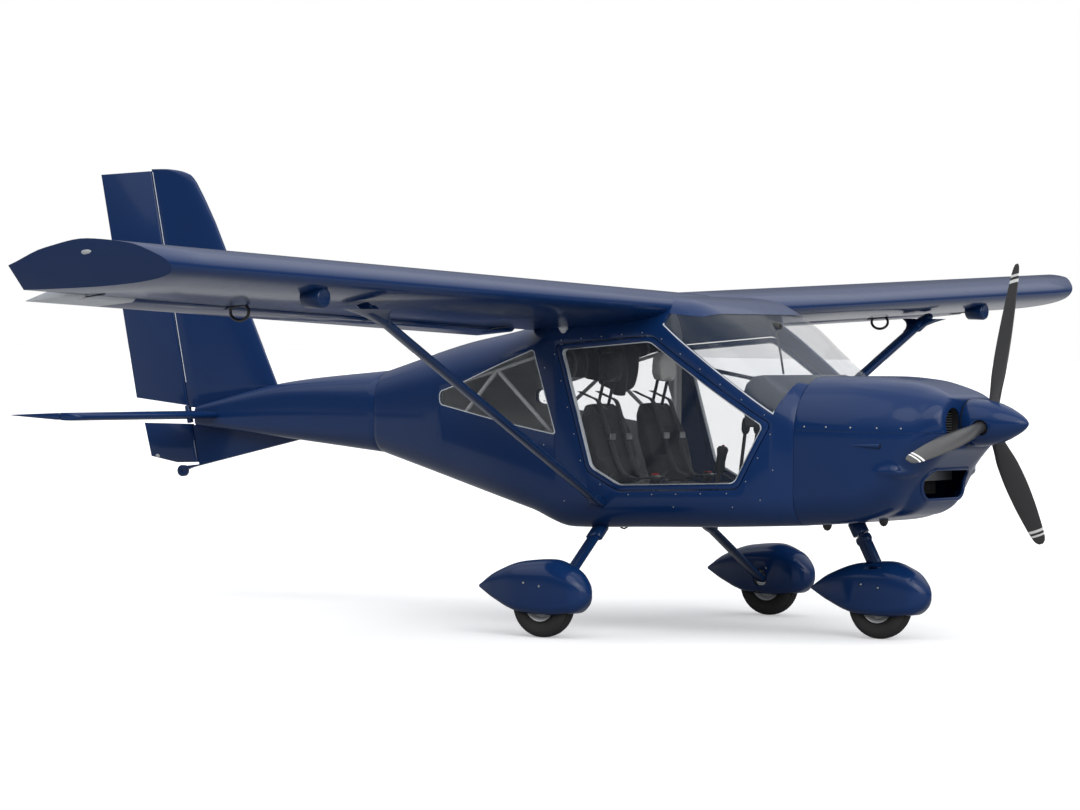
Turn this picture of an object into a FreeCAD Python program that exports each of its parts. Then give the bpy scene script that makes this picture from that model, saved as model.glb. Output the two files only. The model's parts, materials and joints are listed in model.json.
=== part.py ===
import FreeCAD, Part
import math
import os

# Two-seat high-wing microlight aircraft on a fixed tricycle gear. Millimetres.
# +X points forward, +Y to port, +Z up. The origin is on the ground, under the middle of the
# overall length. Port and starboard pieces are mirror images in the plane Y = 0.

os.makedirs("parts", exist_ok=True)
V = FreeCAD.Vector

# ---------------------------------------------------------------- driving dimensions
HALF_LENGTH = 3182.5
HALF_SPAN = 4775.0

CABIN_HALF = 640.0           # outer half width of the cabin
SKIN = 24.0                  # thickness of cabin walls, doors and glazing
BOOM_SKIN = 10.0
COWL_SKIN = 10.0
GAP = 6.0                    # clearance round anything that moves
CORNER_FLATS = 3             # flats that draw a round corner of a fuselage section
WHEEL_FLATS, SPINNER_FLATS, BAR_FLATS, PIN_FLATS = 24, 22, 12, 8

FIREWALL_X = 2060.0
KINK_X = 680.0               # where the belly starts to rise
DECK_X = 400.0               # rear of the wing, where the upper deck starts to fall
PANEL_X = -830.0             # joint between the cabin and the tail boom
BOOM_END_X = -2380.0

WING_LE_ROOT = V(1313.0, 600.0, 1755.0)
WING_LE_TIP_X = 1123.0       # at LE_TIP_Y
LE_TIP_Y = 4480.0
DIHEDRAL = 0.0389            # rise per unit of span
WING_REAR_X = 413.0          # vertical rear face of the fixed wing
WING_CREST = 106.0           # crest above the leading edge
WING_REAR_TOP = -22.0
WING_REAR_LOW = -130.0

FLAP_AXIS_X = 372.0
FLAP_AXIS_DROP = -118.0      # below the leading edge line
FLAP_NOSE_R = 28.0
FLAP_TE_X = 143.0
FLAP_TE_DROP = -166.0
FLAP_IN_Y, FLAP_OUT_Y = 690.0, 4350.0

WHEEL_R = 180.0
TYRE_W = 110.0
RIM_R = 88.0
MAIN_X, MAIN_Y = 919.0, 1139.0
NOSE_X = 2310.0

PROP_X, PROP_Z = 2955.0, 1163.0
PROP_R = 880.0
PROP_LEAN = 18.0             # degrees from straight up towards port
SPINNER_BASE_X, SPINNER_R = 2850.0, 126.0

HINGE_LOW = V(-2404.5, 0, 785.0)     # rudder hinge line
HINGE_TOP = V(-2792.5, 0, 2557.0)
TAIL_Z = 1100.0
TAIL_HALF = 1260.0
ELEV_AXIS_X = -2405.0


# ---------------------------------------------------------------- helpers
def save(name, *shapes):
    """Write one node; several shapes that don't touch go in as one compound."""
    shape = shapes[0] if len(shapes) == 1 else Part.makeCompound(list(shapes))
    shape.exportStep(f"parts/{name}.step")


def mirrored(shape):
    return shape.mirror(V(0, 0, 0), V(0, 1, 0))


def save_pair(stem, port):
    """Write a port piece and its starboard mirror image."""
    save(f"{stem}_left", port)
    save(f"{stem}_right", mirrored(port))


def box(x0, x1, y0, y1, z0, z1):
    return Part.makeBox(x1 - x0, y1 - y0, z1 - z0, V(x0, y0, z0))


def rod(a, b, radius):
    return Part.makeCylinder(radius, (b - a).Length, a, b - a)


def prism_xz(points, y0, y1):
    """Side-view outline of (x, z) corners, extruded from y0 to y1."""
    wire = Part.makePolygon([V(x, y0, z) for x, z in points + points[:1]])
    return Part.Face(wire).extrude(V(0, y1 - y0, 0))


def quarter(cy, cz, radius, start):
    """Points (y, z) along a quarter circle; start is in degrees, counted from +Y towards +Z."""
    angles = [math.radians(start + 90.0 * k / CORNER_FLATS) for k in range(CORNER_FLATS + 1)]
    return [(cy + radius * math.cos(a), cz + radius * math.sin(a)) for a in angles]


def section(x, half, low, high, r_low, r_high, inset=0.0):
    """Cross-section at x: a rectangle with two lower and two upper corner radii."""
    h, lo, hi = half - inset, low + inset, high - inset
    a, b = max(r_low - inset, 2.0), max(r_high - inset, 2.0)
    corners = [(h - a, lo + a, a, -90), (h - b, hi - b, b, 0),
               (b - h, hi - b, b, 90), (a - h, lo + a, a, 180)]
    return [V(x, y, z) for corner in corners for y, z in quarter(*corner)]


def panel(a, b, c, d):
    """Flat face with four corners, or two triangles where the corners don't lie in one plane."""
    if abs((b - a).cross(c - a).normalize().dot(d - a)) < 1e-6:
        return [Part.Face(Part.makePolygon([a, b, c, d, a]))]
    return [Part.Face(Part.makePolygon([a, b, c, a])), Part.Face(Part.makePolygon([a, c, d, a]))]


def skinned(rings):
    """Solid with flat panels between closed rings of points, and a flat cap at each end."""
    faces = [Part.Face(Part.makePolygon(ring + ring[:1])) for ring in (rings[0], rings[-1])]
    for near, far in zip(rings, rings[1:]):
        for i, point in enumerate(near):
            j = (i + 1) % len(near)
            faces += panel(point, near[j], far[j], far[i])
    shell = Part.makeShell(faces)
    shell.sewShape()
    solid = Part.makeSolid(shell)
    if solid.Volume < 0:
        solid.reverse()
    return solid


def turned(rows, centre, axis, flats):
    """Solid of revolution drawn with flats: rows of (distance along the axis, radius)."""
    side = axis.cross(V(0, 0, -1)).normalize()
    down = side.cross(axis)
    angles = [2 * math.pi * k / flats for k in range(flats)]
    return skinned([[centre + axis * d + (down * math.cos(a) + side * math.sin(a)) * r for a in angles]
                    for d, r in rows])


def bar(start, end, radius, flats=BAR_FLATS):
    """Round bar between two points, drawn with flats."""
    run = end - start
    return turned([(0, radius), (run.Length, radius)], start, run.normalize(), flats)


def hull(sections, inset=0.0):
    """Solid through cross-sections, each (x, half, low, high, r_low, r_high)."""
    return skinned([section(*s, inset) for s in sections])


def along(flats, *arc):
    """Points that divide an arc, given by three points, into flats; the last one is left out."""
    return Part.Arc(*arc).toShape().discretize(flats + 1)[:-1]


# ---------------------------------------------------------------- fuselage
# x, half width, bottom, top, lower corner radius, upper corner radius
CABIN = [
    (FIREWALL_X, 500, 605, 1395, 150, 300),
    (1830, 590, 595, 1530, 150, 290),
    (1600, 628, 585, 1690, 150, 270),
    (1360, 640, 577, 1800, 150, 250),
    (1150, 640, 570, 1820, 150, 240),
    (KINK_X, 640, 555, 1820, 150, 240),
]
REAR = [
    (KINK_X, 640, 555, 1820, 150, 240),
    (DECK_X, 630, 640, 1660, 150, 230),
    (-200, 500, 775, 1545, 150, 220),
    (PANEL_X, 330, 915, 1385, 120, 160),
]
BOOM = [
    (PANEL_X, 330, 915, 1385, 120, 160),
    (-1600, 190, 975, 1310, 70, 90),
    (BOOM_END_X, 62, 1035, 1152, 25, 30),
]

# Side-view corners of the doorway and of the window behind it
DOORWAY = [(636, 1544), (1250, 1598), (1945, 1142), (1778, 798), (1045, 768), (845, 867)]
REAR_WINDOW = [(-258, 1202), (-262, 1276), (-48, 1337), (482, 1523), (642, 1055)]
# Side-view line of the windscreen's edge: base corner, top corner
SCREEN_BASE, SCREEN_TOP = (1962, 1178), (1300, 1655)
SCREEN_CREST_X = 2015
SIDE_OUT, SIDE_IN = 760.0, 380.0

outer = hull(CABIN + REAR[1:])
inner = hull(CABIN + REAR[1:], SKIN)
skin = outer.cut(inner)


def grown(points, by):
    """Outline moved outwards (inwards if negative) by a distance, corners kept sharp."""
    wire = Part.makePolygon([V(x, 0, z) for x, z in points + points[:1]])
    moved = wire.makeOffset2D(by, 2)
    return [(v.X, v.Z) for v in moved.OrderedVertexes]


# As the door swings up about its top edge, its inner corner drops towards the sloping rear edge,
# so the opening is longer there
DOOR_REAR_ROOM = 6.0
doorway = prism_xz(grown(DOORWAY, GAP), SIDE_IN, SIDE_OUT)
doorway = doorway.fuse(doorway.translated(V(-DOOR_REAR_ROOM, 0, 0)))
window = prism_xz(REAR_WINDOW, SIDE_IN - 160, SIDE_OUT)
# The windscreen ends at a slanting cut from its base corners up to the wing
screen_cut = prism_xz([SCREEN_BASE, SCREEN_TOP, (1335, 1900), (2200, 1900), (2200, 1300),
                       (SCREEN_CREST_X + 10, 1350)], -SIDE_OUT, SIDE_OUT)

shell = skin.cut(doorway).cut(mirrored(doorway)).cut(window).cut(mirrored(window)).cut(screen_cut)
save("cabin_shell", shell)
save("windscreen", skin.common(screen_cut))
save_pair("rear_window", skin.common(window))

door = skin.common(prism_xz(DOORWAY, SIDE_IN, SIDE_OUT))
pane = prism_xz(grown(DOORWAY, -26), SIDE_IN, SIDE_OUT)
save_pair("door_frame", door.cut(pane))
save_pair("door_glass", door.common(pane))

save("tail_boom", hull(BOOM).cut(hull(BOOM, BOOM_SKIN)))

save("firewall", hull([(x, 470, 640, 1360, 130, 270) for x in (FIREWALL_X - 30, FIREWALL_X - 18)]))
FLOOR_TOP = 655.0
save("cabin_floor", box(720, 1990, -480, 480, FLOOR_TOP - 15, FLOOR_TOP).common(inner))

# ---------------------------------------------------------------- cowl and engine
COWL = [
    (FIREWALL_X, 500, 605, 1395, 150, 300),
    (2330, 488, 628, 1398, 160, 300),
    (2560, 440, 700, 1384, 180, 290),
    (2700, 385, 880, 1355, 190, 250),
    (2790, 335, 985, 1318, 140, 160),
    (2838, 300, 1030, 1290, 110, 120),
]
# The scoop below, which ends further back than the nose
CHIN = [
    (2330, 300, 640, 900, 110, 60),
    (2560, 262, 668, 945, 110, 60),
    (2640, 248, 705, 940, 100, 60),
    (2684, 228, 750, 925, 80, 60),
]
COWL_SPLIT_Z = 1110.0
INTAKE_Y, INTAKE_R = 200.0, 74.0
SHAFT_HOLE_R, GEARBOX_R = 95.0, 70.0


def drilled(radius, y):
    """Tool for a round hole in the front of the cowl."""
    return Part.makeCylinder(radius, 300, V(2680, y, PROP_Z), V(1, 0, 0))


cowl = hull(COWL).fuse(hull(CHIN)).cut(hull(COWL, COWL_SKIN)).cut(hull(CHIN, COWL_SKIN))
cowl = cowl.cut(drilled(INTAKE_R, INTAKE_Y)).cut(drilled(INTAKE_R, -INTAKE_Y)).cut(drilled(SHAFT_HOLE_R, 0))
cowl = cowl.cut(hull([(x, 198, 778, 900, 58, 55) for x in (2600, 2760)]))
save("cowl_upper", cowl.common(box(2000, 3000, -600, 600, COWL_SPLIT_Z, 1500)))
save("cowl_lower", cowl.common(box(2000, 3000, -600, 600, 500, COWL_SPLIT_Z)))
engine = box(2190, 2600, -240, 240, 850, 1225)
gearbox = Part.makeCylinder(GEARBOX_R, 240, V(2599, 0, PROP_Z), V(1, 0, 0))
bearers = [box(FIREWALL_X - 18, 2191, y - 14, y + 14, z - 14, z + 14)
           for y in (-190, 190) for z in (900, 1180)]
save("engine", engine.fuse([gearbox] + bearers))

# ---------------------------------------------------------------- propeller
# distance behind the tip, radius
SPINNER = [(0, 5), (22, 31), (62, 57), (125, 90), (215, 117), (HALF_LENGTH - SPINNER_BASE_X, SPINNER_R)]
spinner = turned([(-back, r) for back, r in SPINNER], V(HALF_LENGTH, 0, PROP_Z), V(1, 0, 0), SPINNER_FLATS)
# radius, chord, thickness, pitch in degrees; the blades stand coarse
BLADE = [(60, 56, 46, 76), (170, 80, 34, 72), (300, 114, 24, 68), (440, 122, 18, 65),
         (580, 114, 14, 63), (720, 94, 10, 61), (840, 70, 8, 60), (PROP_R, 46, 6, 60)]


def blade_section(radius, chord, thick, pitch):
    """Flat-faced section of a blade that points up, turned by its pitch about its own axis."""
    lead, trail = V(0, -chord / 2, radius), V(0, chord / 2, radius)
    ring = along(6, lead, V(thick, -0.08 * chord, radius), trail) + [trail]
    turn = FreeCAD.Rotation(V(0, 0, 1), pitch)
    return [turn.multVec(point) for point in ring]


blade = skinned([blade_section(*row) for row in BLADE])
blades = []
for turn in (PROP_LEAN, PROP_LEAN + 120, PROP_LEAN + 240):
    one = blade.copy()
    one.rotate(V(0, 0, 0), V(1, 0, 0), -turn)
    one.translate(V(PROP_X, 0, PROP_Z))
    blades.append(one)
save("spinner", spinner.cut(Part.makeCompound(blades)))
save("propeller_blades", *blades)

# ---------------------------------------------------------------- wing
def wing_section(y, chord_le):
    """Section of the fixed wing at span y: round nose, arched back, flat belly, upright rear."""
    z = WING_LE_ROOT.z + (y - WING_LE_ROOT.y) * DIHEDRAL
    length = chord_le - WING_REAR_X

    def at(back, up):
        return V(chord_le - back * length, y, z + up)

    nose = along(6, at(0.055, -44), at(0, 0), at(0.055, 52))
    front = along(4, at(0.055, 52), at(0.17, 92), at(0.40, WING_CREST))
    back = along(4, at(0.40, WING_CREST), at(0.70, 61), at(1, WING_REAR_TOP))
    belly = along(4, at(1, WING_REAR_LOW), at(0.5, -104), at(0.055, -44))
    return nose + front + back + [at(1, WING_REAR_TOP)] + belly


ROOT_Y, BEYOND_Y = 300.0, 4960.0
taper = (WING_LE_ROOT.x - WING_LE_TIP_X) / (LE_TIP_Y - WING_LE_ROOT.y)


def le_at(y):
    return WING_LE_ROOT.x - (y - WING_LE_ROOT.y) * taper


wing = skinned([wing_section(y, le_at(y)) for y in (ROOT_Y, BEYOND_Y)])
# One slanting plane cuts the tip: outboard at the top and the rear, inboard at the nose
tip_corner = V(WING_REAR_X, HALF_SPAN - 3, WING_LE_ROOT.z + 4175 * DIHEDRAL + WING_REAR_TOP)
tip_normal = V(0.456, 1.0, -0.96).normalize()
cutter = Part.makePlane(4000, 4000, V(-2000, -2000, 0)).extrude(V(0, 0, 900))
cutter.Placement = FreeCAD.Placement(tip_corner, FreeCAD.Rotation(V(0, 0, 1), tip_normal))
wing = wing.cut(cutter).cut(outer)
save_pair("wing", wing)

# ---------------------------------------------------------------- flaperons
span_dir = V(0, 1, DIHEDRAL).normalize()


def drop_at(x, y, drop):
    return V(x, y, WING_LE_ROOT.z + (y - WING_LE_ROOT.y) * DIHEDRAL + drop)


def flap_section(y):
    """Section square to the span: a half-round nose about the hinge axis, flat sides, thin rear."""
    c = drop_at(FLAP_AXIS_X, y, FLAP_AXIS_DROP)
    rise = V(1, 0, 0).cross(span_dir)
    rear = c + V(FLAP_TE_X - FLAP_AXIS_X, 0, 0) + rise * (FLAP_TE_DROP - FLAP_AXIS_DROP)
    top, low = c + rise * FLAP_NOSE_R, c - rise * FLAP_NOSE_R
    nose = Part.Arc(low, c + V(FLAP_NOSE_R, 0, 0), top).toShape()
    sides = Part.makePolygon([top, rear + rise * 2, rear - rise * 2, low])
    return Part.Face(Part.Wire([nose] + sides.Edges))


flaperon = flap_section(FLAP_IN_Y).extrude(span_dir * (FLAP_OUT_Y - FLAP_IN_Y))
HINGE_YS = (900.0, 2000.0, 3150.0, 4200.0)
PIN_R, PIN_HOLE_R = 5.0, 5.5


def pin(centre, half, radius):
    return turned([(-half, radius), (half, radius)], centre, span_dir, PIN_FLATS)


brackets = []
for y in HINGE_YS:
    c = drop_at(FLAP_AXIS_X, y, FLAP_AXIS_DROP)
    flaperon = flaperon.cut(box(c.x - 34, c.x + 60, y - 9, y + 9, c.z - 60, c.z + 60))
    flaperon = flaperon.cut(pin(c, 26, PIN_HOLE_R))
    arm = prism_xz([(c.x - 14, c.z - 14), (c.x - 14, c.z + 14), (c.x + 18, c.z + 14),
                    (WING_REAR_X + 30, c.z + 30), (WING_REAR_X + 130, c.z + 30),
                    (WING_REAR_X + 130, c.z - 4)], y - 3, y + 3)
    brackets.append(arm.cut(wing).fuse(pin(c, 22, PIN_R)))
save_pair("flaperon", flaperon)
save_pair("flaperon_brackets", Part.makeCompound(brackets))

# ---------------------------------------------------------------- struts
STRUT_TOP, STRUT_LOW = V(986, 2800, 1722), V(925, 630, 690)
strut_dir = (STRUT_TOP - STRUT_LOW).normalize()


def oval_bar(a, b, chord, thick):
    """Streamlined bar from a to b, its chord along X."""
    h, t = chord / 2, thick / 2
    nose = Part.Arc(V(h * 0.5, t, 0), V(h, 0, 0), V(h * 0.5, -t, 0)).toShape()
    tail = Part.Arc(V(h * 0.5, -t, 0), V(-h * 0.35, -t * 0.8, 0), V(-h, 0, 0)).toShape()
    back = Part.Arc(V(-h, 0, 0), V(-h * 0.35, t * 0.8, 0), V(h * 0.5, t, 0)).toShape()
    bar = Part.Face(Part.Wire([nose, tail, back])).extrude(V(0, 0, (b - a).Length))
    along = (b - a).normalize()
    side = V(1, 0, 0) - along * along.x
    turn = FreeCAD.Rotation(side, along.cross(side), along, "ZXY")
    bar.Placement = FreeCAD.Placement(a, turn)
    return bar


strut = oval_bar(STRUT_LOW, STRUT_TOP, 80, 38)
save_pair("strut", strut.cut(wing).cut(outer))

# ---------------------------------------------------------------- tail
hinge_dir = (HINGE_TOP - HINGE_LOW).normalize()
aft = V(-hinge_dir.z, 0, hinge_dir.x)      # square to the hinge line, pointing aft


def hinge_x(z):
    return HINGE_LOW.x + (z - HINGE_LOW.z) * hinge_dir.x / hinge_dir.z


# Section of a tail surface: share of the chord behind the leading edge, share of the half thickness
FIXED_FORM = [(0.0, 0.0), (0.015, 0.36), (0.07, 0.70), (0.30, 1.0), (1.0, 0.94)]
MOVING_FORM = [(0.0, 0.95), (1.0, 0.12)]


def foil_ring(form, lead, rear, half, side):
    """Closed section from lead to rear, which may slant; side is the unit vector across it."""
    def at(share, off):
        return lead + (rear - lead) * share + side * (off * half)
    near = [at(share, off) for share, off in form]
    far = [at(share, -off) for share, off in form if off > 0]
    return near + far[::-1]


FIN_HALF = 22.0
BUMPER_R, TIE_HOLE_R = 34.0, 8.0
RUD_R = 20.0
POST_CLEAR = 28.0            # from the hinge line to the fixed surface ahead of it
ACROSS, UP = V(0, 1, 0), V(0, 0, 1)
# height, leading edge
FIN = [(1140, -1795), (1283, -1795), (2244, -2281), (2440, -2400), (2528, -2472), (2558, -2560),
       (2569, -2651)]
fin = skinned([foil_ring(FIXED_FORM, V(x, 0, z), V(hinge_x(z) + POST_CLEAR, 0, z), FIN_HALF, ACROSS)
               for z, x in FIN])
save("fin", fin.cut(hull(BOOM)))

ventral = prism_xz([(-1634, 1000), (-1634, 964), (-2440, 780), (-2510, 755), (-2510, 785),
                    (hinge_x(800) + POST_CLEAR, 800), (hinge_x(1030) + POST_CLEAR, 1030), (-2370, 1050)],
                   -16, 16)
ventral = ventral.cut(hull(BOOM))
bumper = bar(V(-2515, -16, 758), V(-2515, 16, 758), BUMPER_R, WHEEL_FLATS)
tie_hole = rod(V(-2515, -20, 758), V(-2515, 20, 758), TIE_HOLE_R)
save("ventral_fin", ventral.fuse(bumper).cut(tie_hole))


def on_hinge(z):
    return V(hinge_x(z), 0, z)


# name: from the bottom up, height on the hinge line and trailing edge (x, z)
RUDDER = {
    "upper": [(1152, -2884, 1189), (2557, -HALF_LENGTH, 2542)],
    "lower": [(812, -2560, 806), (840, -2763, 839), (1040, -2820, 1039)],
}
ROD_ENDS = {"upper": (1045, 2553), "lower": (816, 1045)}     # the upper one also joins the two
blades_of_rudder = {}
for name, rows in RUDDER.items():
    rings = [foil_ring(MOVING_FORM, on_hinge(z), V(x, 0, te_z), RUD_R, ACROSS) for z, x, te_z in rows]
    blades_of_rudder[name] = skinned(rings)
    low, top = ROD_ENDS[name]
    save(f"rudder_{name}", blades_of_rudder[name].fuse(rod(on_hinge(low), on_hinge(top), RUD_R)))

# span station, leading edge
STAB = [(30, -2169), (TAIL_HALF - 60, -2255), (TAIL_HALF, -2300)]
ELEV_R = 20.0
stab = skinned([foil_ring(FIXED_FORM, V(x, y, TAIL_Z), V(ELEV_AXIS_X + POST_CLEAR, y, TAIL_Z), 23, UP)
                for y, x in STAB])
save_pair("stabiliser", stab.cut(hull(BOOM)))
# span station, trailing edge
ELEVATOR = [(95, -2520), (260, -2745), (TAIL_HALF, -2760)]
elev = skinned([foil_ring(MOVING_FORM, V(ELEV_AXIS_X, y, TAIL_Z), V(x, y, TAIL_Z), ELEV_R, UP)
                for y, x in ELEVATOR])
elev = elev.fuse(rod(V(ELEV_AXIS_X, 95, TAIL_Z), V(ELEV_AXIS_X, TAIL_HALF, TAIL_Z), ELEV_R))
save_pair("elevator", elev)
save("elevator_tube", bar(V(ELEV_AXIS_X, -95, TAIL_Z), V(ELEV_AXIS_X, 95, TAIL_Z), 12))

# ---------------------------------------------------------------- wheels and gear
# offset from the middle, radius, from one bead over the tread to the other
TYRE = [(-33, 98), (-54, 120), (-TYRE_W / 2, 146), (-42, 171), (0, WHEEL_R),
        (42, 171), (TYRE_W / 2, 146), (54, 120), (33, 98)]
AXLE_R = 12.0


def wheel_disc(cx, cy, rows, flats=WHEEL_FLATS):
    return turned(rows, V(cx, cy, WHEEL_R), V(0, 1, 0), flats)


def tyre(cx, cy):
    """Round-shouldered tyre on a rim seat."""
    return wheel_disc(cx, cy, TYRE).cut(wheel_disc(cx, cy, [(-60, RIM_R), (60, RIM_R)]))


def rim(cx, cy):
    """Rim with a recess round the hub on each side."""
    w = TYRE_W * 0.3
    made = wheel_disc(cx, cy, [(-w, RIM_R), (w, RIM_R)])
    for near, far in ((-w, -w + 24), (w - 24, w)):
        recess = wheel_disc(cx, cy, [(near, RIM_R - 14), (far, RIM_R - 14)], WHEEL_FLATS // 2)
        made = made.cut(recess.cut(wheel_disc(cx, cy, [(near, 34), (far, 34)], WHEEL_FLATS // 3)))
    return made.cut(Part.makeCylinder(AXLE_R + 0.05, 200, V(cx, cy - 100, WHEEL_R), V(0, 1, 0)))


# offset from the axle, half width, bottom, top, lower radius, upper radius
SPAT = [(-419, 6, 248, 262, 4, 5), (-300, 52, 190, 338, 30, 48), (-110, 98, 132, 402, 40, 88),
        (60, 108, 124, 416, 44, 98), (200, 92, 134, 372, 50, 84), (275, 48, 178, 300, 38, 44),
        (297, 12, 226, 250, 8, 10)]


def spat(cx, cy, scale=1.0):
    rows = [(cx + x * scale,) + tuple(rest) for x, *rest in SPAT]
    body = hull(rows)
    hollow = hull([(cx + x * scale * 0.97,) + tuple(rest) for x, *rest in SPAT[1:-1:2]], 5.0)
    slot = box(cx - WHEEL_R - 16, cx + WHEEL_R + 16, -68, 68, 60, WHEEL_R + 20)
    made = body.cut(hollow).cut(slot)
    made.translate(V(0, cy, 0))
    return made


save_pair("main_tyre", tyre(MAIN_X, MAIN_Y))
save_pair("main_rim", rim(MAIN_X, MAIN_Y))
save("nose_tyre", tyre(NOSE_X, 0))
save("nose_rim", rim(NOSE_X, 0))

leg_top, leg_low = V(845, 440, 610), V(MAIN_X, MAIN_Y - 84, WHEEL_R + 20)
leg = oval_bar(leg_top, leg_low, 76, 30)
axle = rod(V(MAIN_X, MAIN_Y - 90, WHEEL_R), V(MAIN_X, MAIN_Y + 60, WHEEL_R), AXLE_R)
knuckle = box(MAIN_X - 40, MAIN_X + 40, MAIN_Y - 90, MAIN_Y - 76, WHEEL_R - 40, WHEEL_R + 60)
leg_clear = bar(leg_low - (leg_low - leg_top) * 0.35, leg_low, 44)
save_pair("main_spat", spat(MAIN_X, MAIN_Y).cut(leg_clear).cut(knuckle))
leg = leg.cut(outer).cut(knuckle)
save_pair("gear_leg", max(leg.Solids, key=lambda piece: piece.Volume))
save_pair("main_axle", axle.fuse(knuckle))

STEER_TOP, STEER_LOW = V(2150, 0, 620), V(2262, 0, 415)
steer_dir = (STEER_LOW - STEER_TOP).normalize()
STEER_PIN_R = 16.0
pin_start = STEER_TOP + steer_dir * 32
socket = bar(STEER_TOP, STEER_TOP + steer_dir * 78, 46)
socket = socket.cut(rod(pin_start, STEER_LOW, STEER_PIN_R + 0.05))
save("nose_socket", socket.cut(hull(COWL)).cut(outer))
leg_start = STEER_TOP + steer_dir * 85
nose_leg = oval_bar(leg_start, STEER_LOW + steer_dir * 45, 84, 44)
nose_leg = nose_leg.fuse(rod(pin_start + steer_dir * 3, leg_start + steer_dir * 5, STEER_PIN_R))
crown = box(NOSE_X - 60, NOSE_X + 44, -84, 84, 366, 388)
cheeks = [box(NOSE_X - 30, NOSE_X + 30, s * 78 - 6, s * 78 + 6, WHEEL_R - 30, 388) for s in (-1, 1)]
fork = nose_leg.fuse(crown).fuse(cheeks[0]).fuse(cheeks[1])
save("nose_fork", fork)
save("nose_axle", rod(V(NOSE_X, -72, WHEEL_R), V(NOSE_X, 72, WHEEL_R), AXLE_R))
save("nose_spat", spat(NOSE_X, 0, 1.02).cut(fork))

# ---------------------------------------------------------------- cabin fittings
for side, name in ((1, "left"), (-1, "right")):
    y0, y1 = sorted((side * 40, side * 500))
    cushion = box(760, 1230, y0, y1, 700, 790)
    frame = box(800, 1180, y0 + 50, y1 - 50, FLOOR_TOP, 701)
    back = prism_xz([(760, 780), (870, 780), (720, 1270), (620, 1270)], y0 + 10, y1 - 10)
    post = prism_xz([(655, 1265), (690, 1265), (690, 1355), (655, 1355)], y0 + 200, y1 - 200)
    head = prism_xz([(640, 1350), (720, 1350), (700, 1490), (630, 1490)], y0 + 120, y1 - 120)
    save(f"seat_{name}", cushion.fuse([frame, back, post, head]))
# Panel face, rounded shroud over it, and its slope down to the windscreen
PANEL = [(1718, 1120), (1700, 1290), (1722, 1352), (1770, 1390), (1830, 1400), (1960, 1302), (1960, 1120)]
panel_arm = box(1959, FIREWALL_X - 30, -300, 300, 1150, 1280)
save("instrument_panel", prism_xz(PANEL, -440, 440).fuse(panel_arm))
boot = box(1222, 1278, -28, 28, FLOOR_TOP, FLOOR_TOP + 24)
save("control_stick", boot.fuse(bar(V(1252, 0, FLOOR_TOP + 10), V(1310, 0, 1000), 12)))
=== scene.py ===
"""Looks of a two-seat high-wing microlight aircraft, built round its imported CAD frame.

Metres, +X forward, +Y to port, +Z up. Tables of sections are in millimetres, as the part's own are.
"""

import json
import logging
import math
from collections.abc import Callable, Iterator, Sequence
from contextlib import contextmanager
from dataclasses import dataclass, field
from enum import Enum

import bpy
from bpy.types import Material, Node, NodeSocket, NodeTree, Object
from mathutils import Matrix, Quaternion, Vector

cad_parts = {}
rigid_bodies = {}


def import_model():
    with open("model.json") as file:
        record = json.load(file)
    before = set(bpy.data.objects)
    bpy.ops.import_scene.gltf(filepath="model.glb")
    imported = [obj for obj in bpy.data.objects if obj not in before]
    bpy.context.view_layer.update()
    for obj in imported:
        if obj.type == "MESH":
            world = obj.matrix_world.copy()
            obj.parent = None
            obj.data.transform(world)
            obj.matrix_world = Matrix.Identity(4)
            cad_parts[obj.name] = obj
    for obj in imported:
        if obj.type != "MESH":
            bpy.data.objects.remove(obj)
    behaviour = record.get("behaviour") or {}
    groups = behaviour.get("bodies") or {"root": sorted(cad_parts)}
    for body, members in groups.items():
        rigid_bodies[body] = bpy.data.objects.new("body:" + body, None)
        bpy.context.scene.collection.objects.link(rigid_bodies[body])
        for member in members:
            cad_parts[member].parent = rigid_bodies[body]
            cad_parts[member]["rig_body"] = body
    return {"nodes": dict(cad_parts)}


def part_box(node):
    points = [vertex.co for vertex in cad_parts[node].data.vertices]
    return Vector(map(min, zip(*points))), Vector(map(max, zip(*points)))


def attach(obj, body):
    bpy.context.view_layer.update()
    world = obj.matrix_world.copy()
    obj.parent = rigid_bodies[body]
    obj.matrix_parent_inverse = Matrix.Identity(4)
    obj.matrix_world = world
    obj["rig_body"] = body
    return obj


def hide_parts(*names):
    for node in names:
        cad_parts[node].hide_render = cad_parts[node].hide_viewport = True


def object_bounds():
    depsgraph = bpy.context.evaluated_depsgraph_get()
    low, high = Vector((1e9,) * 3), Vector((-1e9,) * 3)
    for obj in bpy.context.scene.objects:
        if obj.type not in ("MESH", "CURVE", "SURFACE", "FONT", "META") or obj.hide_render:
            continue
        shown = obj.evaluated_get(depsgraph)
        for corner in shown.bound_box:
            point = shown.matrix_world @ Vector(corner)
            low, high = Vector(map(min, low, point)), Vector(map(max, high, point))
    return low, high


Row = tuple[float, float]
Triple = tuple[float, float, float]
Five = tuple[float, float, float, float, float]
Section = tuple[float, float, float, float, float, float]

LOG = logging.getLogger("microlight")
MM = 0.001
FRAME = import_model()
CAD_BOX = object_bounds()
SPINNER_LOW, SPINNER_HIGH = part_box("spinner")
PROP_Z = (SPINNER_LOW.z + SPINNER_HIGH.z) / 2
WAVE_PER_METRE = math.pi / 10     # scale at which a wave texture repeats once a metre
WELD = 1e-5                       # points closer than this, in metres, are one point
AHEAD, ACROSS, UPWARD = Vector((1, 0, 0)), Vector((0, 1, 0)), Vector((0, 0, 1))
FOIL_STEPS = 16                   # steps along each side of a foil, closer together at the nose
NODE_EDGE = 35.0                  # degrees between the faces of a CAD node that stay an edge
CABIN_RANGE, BOOM_RANGE = (-830.0, 2060.0), (-2380.0, -832.0)     # stations, in millimetres


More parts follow.
